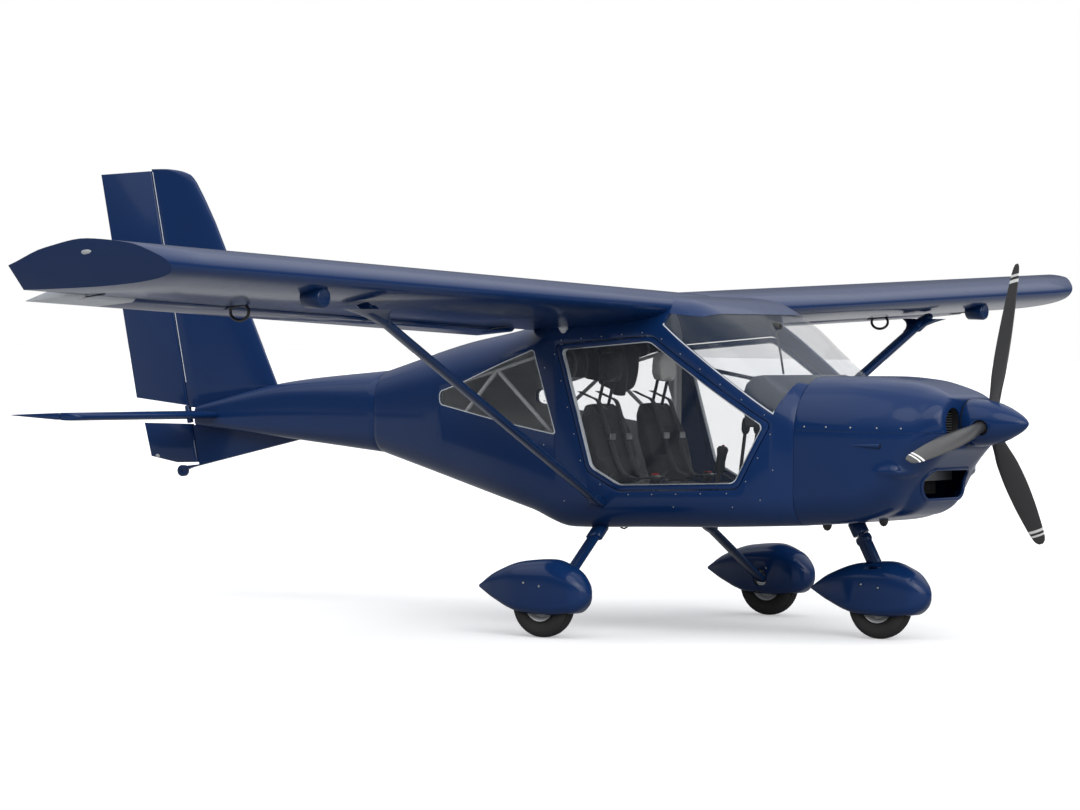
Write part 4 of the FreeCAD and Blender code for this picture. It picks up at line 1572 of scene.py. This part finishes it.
# ------------------------------------------------------------------ tail
@dataclass
class Tail:
    """Fin, balanced rudder, stabiliser, elevator, bumper fin and their small pieces."""

    hinge_low: Vector = field(default_factory=lambda: Vector((-2404.5, 0, 785.0)))
    hinge_top: Vector = field(default_factory=lambda: Vector((-2792.5, 0, 2557.0)))
    clear: float = 28.0
    radius: float = 20.0
    axis_x: float = -2405.0
    level: float = 1100.0
    # height, leading edge
    fin_straight: tuple[Row, ...] = ((1140, -1795), (1283, -1795), (2244, -2281))
    fin_tip: tuple[Row, ...] = ((2244, -2281), (2440, -2400), (2528, -2472), (2558, -2560), (2569, -2651))
    tip_steps: tuple[float, ...] = (2300, 2360, 2410, 2450, 2485, 2512, 2532, 2546, 2556, 2563, 2569)
    # span station, leading edge
    stab_tip: tuple[Row, ...] = ((30, -2169), (1200, -2255), (1240, -2278), (1260, -2312))
    # hinge height, trailing edge x and z
    rudder_upper: tuple[Triple, ...] = ((1152, -2884, 1189), (2557, -3182.5, 2542))
    rudder_lower: tuple[Triple, ...] = (
        (812, -2560, 806), (840, -2763, 839), (1040, -2820, 1039))
    # span station, trailing edge
    elevator: tuple[Row, ...] = ((95, -2520), (260, -2745), (1258, -2760))

    def on_hinge(self, z: float) -> Vector:
        """Point of the rudder's hinge line at a height."""
        run = self.hinge_top - self.hinge_low
        return self.hinge_low + run * ((z - self.hinge_low.z) / run.z)

    def make_fin(self) -> None:
        """Fin with a rounded top, a pale strip down its rear edge, and the bumper fin below."""
        rows = list(self.fin_straight)
        zs, xs = [z for z, _ in self.fin_tip], [x for _, x in self.fin_tip]
        rows += [(z, eased(zs, xs, z)) for z in self.tip_steps]
        rings = []
        for z, x in rows:
            rear = self.on_hinge(z) + Vector((self.clear, 0, 0))
            rings.append(foil(mm(x, 0, z), rear * MM, 0.022, ACROSS, FIXED_FORM))
        fin = lofted("fin_skin", rings)
        BOOM_FORM.clear(fin, BOOM_RANGE)
        fixed(smoothed(softened(fin, 3 * MM, 2, 40), 35), Paints.COVERING, "blue_covering", "fin")
        strips = []
        for side in (-1, 1):
            path = [(self.on_hinge(z) + Vector((self.clear + 5, side * 20.4, 0))) * MM
                    for z in (1290, 1700, 2150, 2552)]
            strips.append(tube("strip", path, 2.4 * MM, 8))
        fixed(smoothed(joined("fin_rear_strips", strips), 60), Paints.PALE_SEAL, "black_plastic")
        dressed("ventral_fin", Paints.SHELL, "blue_covering", 6)

    def make_rudder(self) -> None:
        """Upper and lower rudder with round noses, and a small white lamp low at the back."""
        for name, rows in (("upper", self.rudder_upper), ("lower", self.rudder_lower)):
            rings = [hinged(self.on_hinge(z) * MM, mm(x, 0, te), self.radius * MM, ACROSS)
                     for z, x, te in rows]
            piece = softened(lofted(f"rudder_{name}_skin", rings), 2.5 * MM, 2, 40)
            if name == "upper":
                pin = rod("pin", self.on_hinge(1047) * MM, self.on_hinge(1150) * MM, 0.019)
                piece = joined("rudder_upper_skin", [piece, pin])
            fitted(smoothed(piece, 35), Paints.COVERING, "rudder", "blue_covering", f"rudder_{name}")
        lamp = turned("tail_lamp", ((-22, 0.5), (-16, 8), (0, 12), (12, 10), (20, 0.5)),
                      Vector((-2.712, 0, 0.842)), Vector((-1, 0, 0.12)), 24)
        fitted(smoothed(lamp, 60), Paints.ACRYLIC, "rudder", "clear_glazing")

    def make_level_tail(self) -> None:
        """Stabiliser and elevator on both sides."""
        ys, xs = [y for y, _ in self.stab_tip], [x for _, x in self.stab_tip]
        rings = []
        for y in (30, 400, 800, 1150, 1200, 1222, 1240, 1252, 1260):
            lead, rear = mm(eased(ys, xs, y), y, self.level), mm(self.axis_x + self.clear, y, self.level)
            rings.append(foil(lead, rear, 0.023, UPWARD, FIXED_FORM))
        stab = lofted("stabiliser_left_skin", rings)
        BOOM_FORM.clear(stab, BOOM_RANGE)
        in_pairs(smoothed(softened(stab, 4 * MM, 3, 40), 35), Paints.COVERING, "blue_covering", "stabiliser")
        rings = [hinged(mm(self.axis_x, y, self.level), mm(x, y, self.level),
                        self.radius * MM, UPWARD) for y, x in self.elevator]
        half = softened(lofted("elevator_left_skin", rings), 2.5 * MM, 2, 40)
        in_pairs(smoothed(half, 35), Paints.COVERING, "blue_covering", "elevator", "elevator")
        dressed("elevator_tube", Paints.ZINC, "steel", 0.5)

    def build(self) -> None:
        """Make the whole tail."""
        self.make_fin()
        self.make_rudder()
        self.make_level_tail()


# ------------------------------------------------------------------ gear
@dataclass
class Gear:
    """Three wheels in smooth spats on faired legs."""

    wheel_r: float = 180.0
    main: Row = (919.0, 1139.0)
    nose_x: float = 2310.0
    # offset from the axle, half width, bottom, top, lower radius, upper radius
    spat_form: tuple[Section, ...] = (
        (-419, 6, 248, 262, 4, 5), (-300, 52, 190, 338, 30, 48), (-110, 98, 132, 402, 40, 88),
        (60, 108, 124, 416, 44, 98), (200, 92, 134, 372, 50, 84), (275, 48, 178, 300, 38, 44),
        (297, 12, 226, 250, 8, 10))
    # distance from the wheel's middle, radius: one half of the tyre from the tread to the bead
    tread: tuple[Row, ...] = (
        (0, 180), (6, 179.8), (7, 175.5), (12, 175.2), (13, 179.3), (26, 177.8), (27, 173), (32, 172),
        (33, 175.6), (42, 171), (49, 162), (54, 150), (55, 143), (54, 128), (50, 115), (42, 104), (33, 97),
        (32, 88.2))
    rim: tuple[Row, ...] = (
        (33, 88), (41, 95), (43, 94), (41, 89), (36, 80), (20, 72), (15, 50), (19, 38), (31, 35), (32, 14),
        (30, 12.3))

    def both_halves(self, half: Sequence[Row]) -> list[Row]:
        """Closed profile from one half and its mirror image."""
        return list(half) + [(-at, r) for at, r in reversed(half) if at > 0]

    def wheel(self, x: float, y: float, body: str, nodes: tuple[str, str], stem: str) -> None:
        """Grooved tyre on a lacquered rim."""
        centre = mm(x, y, self.wheel_r)
        tyre = turned(f"{stem}_rubber", self.both_halves(self.tread), centre, ACROSS, 96)
        fitted(smoothed(tyre, 40), Paints.RUBBER, body, "tyre_rubber", nodes[0])
        rim = turned(f"{stem}_rim", self.both_halves(self.rim), centre, ACROSS, 72)
        fitted(smoothed(rim, 40), Paints.WHEEL_ALLOY, body, "bare_alloy", nodes[1])

    def spat(self, name: str, x: float, y: float, scale: float) -> Object:
        """Teardrop spat with a slot for the wheel."""
        rows = tuple((x + at * scale, *rest) for at, *rest in self.spat_form)
        form = Hull(rows, 8, mm(0, y, 0))
        first, last = rows[0][0], rows[-1][0]
        body = form.solid(name, (first, last), 0, 13)
        combined(body, form.solid("hollow", (first + 30, last - 26), 5, 20), Cut.TAKE_AWAY)
        slot = block("slot", mm(x - self.wheel_r - 16, y - 68, 60),
                     mm(x + self.wheel_r + 16, y + 68, self.wheel_r + 20), 12 * MM, 4)
        combined(body, slot, Cut.TAKE_AWAY)
        return body

    def make_main(self) -> None:
        """Main gear: leg with cuffs, axle, spat and wheel on each side."""
        x, y = self.main
        top, low = Vector((845, 440, 610)), Vector((x, y - 84, self.wheel_r + 20))
        spat = self.spat("main_spat_left_skin", x, y, 1.0)
        combined(spat, rod("leg_clear", (low + (top - low) * 0.35) * MM, low * MM, 0.046), Cut.TAKE_AWAY)
        knuckle = block("knuckle", mm(x - 44, y - 94, self.wheel_r - 44),
                        mm(x + 44, y - 72, self.wheel_r + 64), 1 * MM, 1)
        combined(spat, knuckle, Cut.TAKE_AWAY)
        in_pairs(smoothed(softened(spat, 2 * MM, 2, 45), 35), Paints.SHELL, "blue_composite", "main_spat")
        length = (low - top).length
        leg = faired("gear_leg_left_bar", top, low, (38, 15), (-30, length - 8))
        cuff = faired("cuff", top, low, (38, 15), (78, 190), 12)
        for piece in (leg, cuff):
            CABIN_FORM.clear(piece, CABIN_RANGE)
        bar = smoothed(joined("gear_leg_left_bar", [leg, cuff]), 40)
        in_pairs(bar, Paints.METAL_PAINT, "blue_alloy", "gear_leg")
        dressed("main_axle_left", Paints.ZINC, "steel", 1)
        dressed("main_axle_right", Paints.ZINC, "steel", 1)
        for side, name in ((1, "left"), (-1, "right")):
            nodes = (f"main_tyre_{name}", f"main_rim_{name}")
            self.wheel(x, side * y, f"wheel_{name}", nodes, f"main_wheel_{name}")
        bolts = [(mm(x + dx, y + side * 107.2, 300 + dz), Vector((0, side, 0)))
                 for side in (-1, 1) for dx, dz in ((40, -24), (-60, -10))]
        in_pairs(screws("spat_bolts_left", bolts, 6, 3), Paints.ZINC, "bare_alloy")

    def make_nose(self) -> None:
        """Nose leg with its cuff and bolts, spat and wheel; all but the socket steers."""
        spat = self.spat("nose_spat_skin", self.nose_x, 0, 1.02)
        top, low = Vector((2150, 0, 620)), Vector((2262, 0, 415))
        along = (low - top).normalized()
        clear = rod("leg_clear", (top + along * 120) * MM, (low + along * 60) * MM, 0.052, 32)
        combined(spat, clear, Cut.TAKE_AWAY)
        x, length = self.nose_x, (low - top).length
        crown = block("crown", mm(x - 62, -86, 364), mm(x + 46, 86, 390), 1 * MM, 1)
        combined(spat, crown, Cut.TAKE_AWAY)
        smoothed(softened(spat, 2 * MM, 2, 45), 35)
        fitted(spat, Paints.SHELL, "nose_leg", "blue_composite", "nose_spat")
        parts = [faired("nose_leg_bar", top, low, (42, 22), (86, length + 40)),
                 faired("head_cuff", top, low, (44, 24), (92, 124), 4),
                 rod("pin", (top + along * 36) * MM, (top + along * 92) * MM, 0.0158),
                 block("crown", mm(x - 60, -84, 366), mm(x + 44, 84, 388), 4 * MM)]
        for side in (-1, 1):
            parts.append(block("cheek", mm(x - 30, side * 78 - 6, self.wheel_r - 30),
                               mm(x + 30, side * 78 + 6, 388), 4 * MM))
        fork = smoothed(joined("nose_leg_bar", parts), 40)
        fitted(fork, Paints.METAL_PAINT, "nose_leg", "blue_alloy", "nose_fork")
        dressed("nose_axle", Paints.ZINC, "steel", 1)
        dressed("nose_socket", Paints.METAL_PAINT, "steel", 4)
        bolts = [(mm(x + dx, side * 109, 300 + dz), Vector((0, side, 0)))
                 for side in (-1, 1) for dx, dz in ((44, -22), (-60, -8))]
        fitted(screws("nose_spat_bolts", bolts, 6, 4), Paints.ZINC, "nose_leg", "bare_alloy")
        self.wheel(self.nose_x, 0, "nose_wheel", ("nose_tyre", "nose_rim"), "nose_wheel")

    def build(self) -> None:
        """Make the gear."""
        self.make_main()
        self.make_nose()
        bend = ((700, 562), (690, 538), (668, 526), (646, 532), (640, 548))
        hook = tube("belly_hook", [mm(x, 0, z) for x, z in bend], 5 * MM, 10)
        fixed(smoothed(hook, 60), Paints.BLACK_ABS, "black_plastic")


# ------------------------------------------------------------------ cabin interior
@dataclass
class Interior:
    """Two padded seats with belts, headrests, panel shroud, stick, levers, compass and curtain."""

    seat_y: float = 270.0
    swell_mm: float = 22.0
    pressure: float = 4.0
    curtain_top: float = 1.64
    # span station and height of the curtain's lower edge, in metres
    hem: tuple[Row, ...] = (
        (-0.52, 1.37), (-0.30, 1.365), (-0.14, 1.342), (0.09, 1.262), (0.20, 1.30), (0.30, 1.48),
        (0.52, 1.52))
    # middle line of each tube of the cabin frame on one side, and its radius in metres
    frame: tuple[tuple[tuple[Triple, ...], float], ...] = (
        (((612, 585, 720), (612, 585, 1000), (612, 585, 1300), (612, 585, 1520)), 0.0125),
        (((600, 575, 1040), (180, 545, 1400)), 0.011),
        (((180, 545, 1400), (-200, 455, 1050)), 0.011),
        (((600, 575, 1520), (180, 545, 1400), (-220, 430, 1310)), 0.010))

    def puffed(self, pad: Object, pinned: Callable[[Vector], bool]) -> Object:
        """Swell a closed pad as stuffed cloth does, held where it is sewn down.

        Args:
            pad: Closed form, a little smaller than the pad.
            pinned: Says which points are sewn or glued down.

        Returns:
            The swollen pad.
        """
        with_modifier(pad, "REMESH", mode="VOXEL", voxel_size=6 * MM)
        with_modifier(pad, "SMOOTH", factor=0.5, iterations=3)
        start = [point.co.copy() for point in pad.data.vertices]
        group = pad.vertex_groups.new(name="sewn")
        group.add([i for i, place in enumerate(start) if pinned(place)], 1.0, "REPLACE")
        select_only(pad)
        cloth = pad.modifiers.new("Cloth", "CLOTH")
        cloth.settings.use_pressure = True
        cloth.settings.uniform_pressure_force = self.pressure
        cloth.settings.effector_weights.gravity = 0.0
        cloth.settings.vertex_group_mass = "sewn"
        cloth.point_cache.frame_start, cloth.point_cache.frame_end = 1, 20
        for frame in range(1, 21):
            bpy.context.scene.frame_set(frame)
        bpy.ops.object.modifier_apply(modifier=cloth.name)
        bpy.context.scene.frame_set(1)
        pad.vertex_groups.clear()
        for point, was in zip(pad.data.vertices, start):
            move = point.co - was
            if move.length > self.swell_mm * MM:
                point.co = was + move.normalized() * self.swell_mm * MM
        with_modifier(pad, "SMOOTH", factor=0.5, iterations=4)
        with_modifier(pad, "SUBSURF", levels=1, render_levels=1)
        return smoothed(pad, 80)

    def make_seats(self) -> None:
        """Cushion with sewn channels, back and headrest for each side, on a dark frame."""
        y0, y1 = self.seat_y - 205, self.seat_y + 205
        cushion = prism("seat_cushion_left", ((790, 716), (1205, 722), (1205, 770), (790, 768)), (y0, y1), 14)
        self.puffed(cushion, lambda p: p.z < 0.724 or abs(p.x - 0.93) < 0.005 or abs(p.x - 1.07) < 0.005)
        rise, deep = Vector((-140, 0, 432)), Vector((-54, 0, -17))
        foot = Vector((842, 0, 800))
        corners = [foot + rise * up + Vector((0, y, 0)) for up, y in
                   ((0, y0 + 8), (0.55, y0 - 4), (0.86, y0 + 34), (1, y0 + 96), (1, y1 - 96), (0.86, y1 - 34),
                    (0.55, y1 + 4), (0, y1 - 8))]
        back = outlined("seat_back_left", [c * MM for c in corners], deep * MM, 20 * MM)
        self.puffed(back, lambda p: p.x < 0.796 - (p.z - 0.8) * 0.324 + 0.008 or abs(p.z - 0.94) < 0.005
                    or abs(p.z - 1.09) < 0.005)
        y = self.seat_y
        front = [mm(775, y + dy, z) for dy, z in
                 ((-58, 1345), (58, 1345), (82, 1385), (76, 1462), (46, 1500), (-46, 1500), (-76, 1462),
                  (-82, 1385))]
        head = outlined("headrest_left", front, mm(-62, 0, 8), 10 * MM)
        self.puffed(head, lambda p: p.x < 0.716)
        posts = [rod("post", mm(696, y + dy, 1200), mm(742, y + dy, 1380), 0.009, 14) for dy in (-50, 50)]
        pan = block("pan", mm(790, y0 + 30, 660), mm(1190, y1 - 30, 712), 6 * MM)
        frame = joined("seat_frame_left", [pan] + posts)
        for pad, paint, stem, fill in ((cushion, Paints.SEAT_CLOTH, "seat", 0.8),
                                       (back, Paints.SEAT_CLOTH, "", 0.8), (head, Paints.VINYL, "", 0.9)):
            for piece in in_pairs(pad, paint, "seat_cloth", stem):
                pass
        painted(bpy.data.objects["headrest_right"], Paints.SEAT_CLOTH)
        in_pairs(smoothed(frame, 40), Paints.BLACK_ABS, "black_plastic")

    def make_belts(self) -> None:
        """Shoulder and lap straps on both seats, with their buckles and adjusters."""
        straps = []
        for dy in (-88, 88):
            y = self.seat_y + dy
            path = ((600, y, 1290), (660, y, 1266), (724, y, 1240), (752, y - dy * 0.02, 1180),
                    (812, y - dy * 0.1, 1010), (884, y - dy * 0.25, 850), (960, y - dy * 0.5, 822),
                    (1040, y - dy * 0.8, 820))
            straps.append(strap("strap", path, 46, 1.8, ACROSS))
        in_pairs(smoothed(joined("shoulder_straps_left", straps), 50), Paints.WEBBING, "black_plastic")
        path = [(x, self.seat_y + dy, z) for x, dy, z in
                ((850, -232, 730), (905, -215, 800), (980, -130, 822), (1040, 0, 826), (980, 130, 822),
                 (905, 215, 800), (850, 232, 730))]
        lap = strap("lap_strap_left", path, 48, 2.0, Vector((1, 0, 0.25)))
        in_pairs(smoothed(lap, 50), Paints.NAVY_WEBBING, "black_plastic")
        c = Vector((1.045, self.seat_y * MM, 0.834))
        disc = ((-8, 0.5), (-8, 30), (4, 31), (9, 26), (10, 0.5))
        buckle = [turned("disc", disc, c, Vector((0.15, 0, 1)), 32)]
        for dy in (-60, 60):
            buckle.append(block("tongue", c + mm(-12, dy - 24, -4), c + mm(12, dy + 24, 1), 1.2 * MM))
            y = self.seat_y + dy * 1.35
            buckle.append(block("adjuster", mm(800, y - 28, 1028), mm(822, y + 28, 1062), 3 * MM))
        in_pairs(smoothed(joined("belt_buckles_left", buckle), 40), Paints.ZINC, "steel")
        tab = block("belt_tab_left", c + mm(-16, -16, 8), c + mm(16, 16, 17), 3 * MM)
        in_pairs(smoothed(tab), Paints.RED_ABS, "black_plastic")

    def make_controls(self) -> None:
        """Panel shroud with its dials, compass, stick with grip, two levers and the cabin's tubes."""
        dressed("instrument_panel", Paints.SHROUD, "black_plastic", 14)
        dressed("control_stick", Paints.BLACK_ABS, "black_plastic", 1)
        handle = ((0, 0.5), (0, 22), (18, 29), (60, 25), (95, 27), (126, 32), (142, 24), (147, 0.5))
        grip = turned("stick_grip", handle, Vector((1.286, 0, 0.858)), Vector((0.17, 0, 1)), 28)
        fixed(smoothed(grip, 60), Paints.BLACK_ABS, "black_plastic")
        button = turned("stick_button", ((0, 0.5), (0, 8), (7, 7), (9, 0.5)), Vector((1.3105, 0, 1.0005)),
                        Vector((0.16, 0, 1)), 20)
        fixed(smoothed(button, 60), Paints.RED_ABS, "black_plastic")
        levers = []
        for y, x in ((0.340, 1.240), (0.430, 1.262)):
            levers.append(rod("lever", Vector((x - 0.045, y, 0.72)), Vector((x, y, 1.08)), 0.010, 14))
            levers.append(turned("knob", ((-10, 0.5), (-8, 15), (10, 23), (48, 25), (78, 20), (86, 0.5)),
                                 Vector((x, y, 1.070)), Vector((0.1, 0, 1)), 24))
        fixed(smoothed(joined("power_levers", levers), 60), Paints.BLACK_ABS, "black_plastic")
        tubes = [tube("diagonal", [mm(1234, 0, 1416), mm(1599, 0, 1356), mm(1720, 0, 1335)], 0.011),
                 tube("stalk", [mm(1639, 0, 1638), mm(1672, 0, 1500), mm(1690, 0, 1400)], 0.006),
                 turned("foot", ((0, 0.5), (0, 34), (10, 30), (16, 8), (17, 0.5)), Vector((1.69, 0, 1.372)),
                        UPWARD, 28)]
        fixed(smoothed(joined("cabin_cross_tubes", tubes), 50), Paints.BLACK_ABS, "black_plastic")
        compass = turned("compass", ((-26, 0.5), (-26, 22), (-18, 28), (18, 28), (26, 22), (26, 0.5)),
                         Vector((1.640, 0, 1.652)), Vector((1, 0, -0.15)), 32)
        fixed(smoothed(compass, 50), Paints.BLACK_ABS, "black_plastic")
        white = [tube("frame", [mm(x, side * y, z) for x, y, z in path], radius, 14)
                 for side in (-1, 1) for path, radius in self.frame]
        fixed(smoothed(joined("frame_tubes", white), 60), Paints.WHITE_TUBE, "bare_alloy")
        bezel = ((0, 0.5), (0, 40), (6, 40), (8, 36), (5, 34), (5, 0.5))
        dials = [turned("dial", bezel, mm(1699, y, 1215), Vector((-1, 0, 0)), 32)
                 for y in (-240, -140, 0, 140, 240)]
        fixed(smoothed(joined("panel_dials", dials), 40), Paints.BLACK_ABS, "black_plastic")

    def make_curtain(self) -> None:
        """Dark cloth hung behind the seats, gathered in soft folds."""
        bpy.ops.object.select_all(action="DESELECT")
        bpy.ops.mesh.primitive_grid_add(x_subdivisions=160, y_subdivisions=24, size=1.0)
        curtain = named("rear_curtain")
        ys = [y for y, _ in self.hem]
        zs = [z for _, z in self.hem]
        for point in curtain.data.vertices:
            u, v = point.co.x + 0.5, point.co.y + 0.5
            y = ys[0] + (ys[-1] - ys[0]) * u
            low = eased(ys, zs, y)
            top = self.curtain_top - 0.16 * abs(y / 0.52) ** 4
            fold = math.sin(u * 2 * math.pi * 9 + 1.4 * math.sin(u * 7) + 2.0 * v) * 0.012 * (1.1 - v)
            point.co = Vector((0.572 + fold + 0.02 * math.sin(v * 5), y, low + (top - low) * v))
        with_modifier(curtain, "SOLIDIFY", thickness=1.2 * MM, offset=0.0)
        fixed(smoothed(curtain, 60), Paints.CURTAIN, "seat_cloth")

    def build(self) -> None:
        """Furnish the cabin."""
        self.make_seats()
        self.make_belts()
        self.make_controls()
        self.make_curtain()


# ------------------------------------------------------------------ camera, light and floor
@dataclass
class Studio:
    """White backdrop, soft light and the camera."""

    camera_at: Vector = field(default_factory=lambda: Vector((12.972, -18.538, 1.620)))
    azimuth: float = 34.763
    elevation: float = 1.093
    roll: float = 0.61
    lens: float = 133.58
    shift: Row = (-0.0022, 0.0021)
    floor_grey: str = "#9e9e9e"
    floor_in_gloss: float = 0.18
    white_in_gloss: float = 0.04
    # strength of the sky low down and overhead, and the heights between which it grows
    sky_strength: Row = (0.05, 1.0)
    sky_heights: Row = (-0.05, 0.85)
    # direction towards the lamp, its strength, its width in degrees
    lamps: tuple[tuple[Triple, float, float], ...] = (
        ((0.55, -0.65, 0.75), 0.9, 50.0), ((-0.5, -0.6, 0.7), 0.45, 60.0), ((0.1, 0.6, 0.9), 0.45, 70.0),
        ((0.80, -0.50, 0.36), 0.55, 40.0), ((0.90, -0.30, 0.25), 0.9, 50.0))

    def add_camera(self) -> None:
        """Camera off the starboard bow, level with the cabin."""
        data = bpy.data.cameras.new("camera")
        data.lens, data.sensor_width = self.lens, 36.0
        data.shift_x, data.shift_y = self.shift
        camera = bpy.data.objects.new("camera", data)
        bpy.context.scene.collection.objects.link(camera)
        a, e, r = (math.radians(v) for v in (self.azimuth, self.elevation, self.roll))
        back = Vector((math.sin(a) * math.cos(e), -math.cos(a) * math.cos(e), math.sin(e)))
        level = UPWARD.cross(back).normalized()
        upright = back.cross(level)
        right = math.cos(r) * level + math.sin(r) * upright
        up = -math.sin(r) * level + math.cos(r) * upright
        turn = Matrix((right, up, back)).transposed().to_4x4()
        camera.matrix_world = Matrix.Translation(self.camera_at) @ turn
        bpy.context.scene.camera = camera

    def seen_as(self, tree: NodeTree, lit: Node, shown: Node, in_gloss: float, rays: Sequence[str]) -> Node:
        """Mix a shader that lights the object with one that is seen in its stead.

        Args:
            tree: The material's or the world's nodes.
            lit: Shader that every other ray meets.
            shown: Shader that the named rays meet.
            in_gloss: Share of it that reflections meet.
            rays: Kinds of ray that meet it whole.

        Returns:
            The mixing node.
        """
        path = node(tree, "ShaderNodeLightPath")
        share = node(tree, "ShaderNodeMath", {0: path.outputs["Is Glossy Ray"], 1: in_gloss},
                     operation="MULTIPLY")
        for ray in rays:
            share = node(tree, "ShaderNodeMath", {0: path.outputs[ray], 1: share.outputs[0]},
                         operation="MAXIMUM")
        return node(tree, "ShaderNodeMixShader",
                    {0: share.outputs[0], 1: lit.outputs[0], 2: shown.outputs[0]})

    def add_floor(self) -> None:
        """Wide floor, white to the camera but for the shadow, mid grey to the object."""
        bpy.ops.object.select_all(action="DESELECT")
        bpy.ops.mesh.primitive_plane_add(size=400.0, location=(0, 0, CAD_BOX[0].z))
        floor = named("floor")
        material = bpy.data.materials.new("pale_studio_floor")
        material.use_nodes = True
        tree = material.node_tree
        tree.nodes.remove(tree.nodes["Principled BSDF"])
        grey = node(tree, "ShaderNodeBsdfDiffuse", {"Color": linear(self.floor_grey)})
        white = node(tree, "ShaderNodeBsdfDiffuse", {"Color": (0.80, 0.80, 0.80, 1)})
        glow = node(tree, "ShaderNodeEmission", {"Color": (1, 1, 1, 1), "Strength": 0.30})
        shown = node(tree, "ShaderNodeAddShader", {0: white.outputs[0], 1: glow.outputs[0]})
        mixed = self.seen_as(tree, grey, shown, self.floor_in_gloss, ("Is Camera Ray",))
        tree.links.new(mixed.outputs[0], tree.nodes["Material Output"].inputs["Surface"])
        floor.data.materials.append(material)

    def add_light(self) -> None:
        """Sky that is brighter overhead than at the horizon, white behind, and wide soft suns."""
        world = bpy.data.worlds.new("pale_sky")
        world.use_nodes = True
        tree = world.node_tree
        coord = node(tree, "ShaderNodeTexCoord").outputs["Generated"]
        height = node(tree, "ShaderNodeSeparateXYZ", {0: coord}).outputs[2]
        (low, high), (dim, bright) = self.sky_heights, self.sky_strength
        level = node(tree, "ShaderNodeMapRange", {"Value": height, "From Min": low, "From Max": high,
                                                  "To Min": dim, "To Max": bright},
                     interpolation_type="SMOOTHSTEP")
        sky = tree.nodes["Background"]
        sky.inputs["Color"].default_value = (0.95, 0.97, 1.0, 1.0)
        tree.links.new(level.outputs[0], sky.inputs["Strength"])
        white = node(tree, "ShaderNodeBackground", {"Color": (1, 1, 1, 1), "Strength": 1.0})
        rays = ("Is Camera Ray", "Is Transmission Ray")
        mixed = self.seen_as(tree, sky, white, self.white_in_gloss, rays)
        tree.links.new(mixed.outputs[0], tree.nodes["World Output"].inputs["Surface"])
        bpy.context.scene.world = world
        for k, (way, strength, width) in enumerate(self.lamps):
            data = bpy.data.lights.new(f"soft_sun_{k + 1}", "SUN")
            data.energy, data.angle = strength, math.radians(width)
            lamp = bpy.data.objects.new(f"soft_sun_{k + 1}", data)
            bpy.context.scene.collection.objects.link(lamp)
            lamp.rotation_mode = "QUATERNION"
            lamp.rotation_quaternion = Vector(way).to_track_quat("Z", "Y")

    def build(self) -> None:
        """Set up the studio."""
        self.add_camera()
        self.add_floor()
        self.add_light()
        bpy.context.scene.view_settings.view_transform = "Standard"


def main() -> None:
    """Build the aircraft, sub-assembly by sub-assembly."""
    logging.basicConfig(level=logging.INFO, format="%(name)s: %(message)s")
    Studio().build()
    cabin = Cabin()
    for assembly in (cabin, Doors(cabin), Cowl(), Boom(), Propeller(), Wing(), Tail(), Gear(), Interior()):
        assembly.build()
        LOG.info("%s done", type(assembly).__name__)
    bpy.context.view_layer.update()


if __name__ == "__main__":
    main()
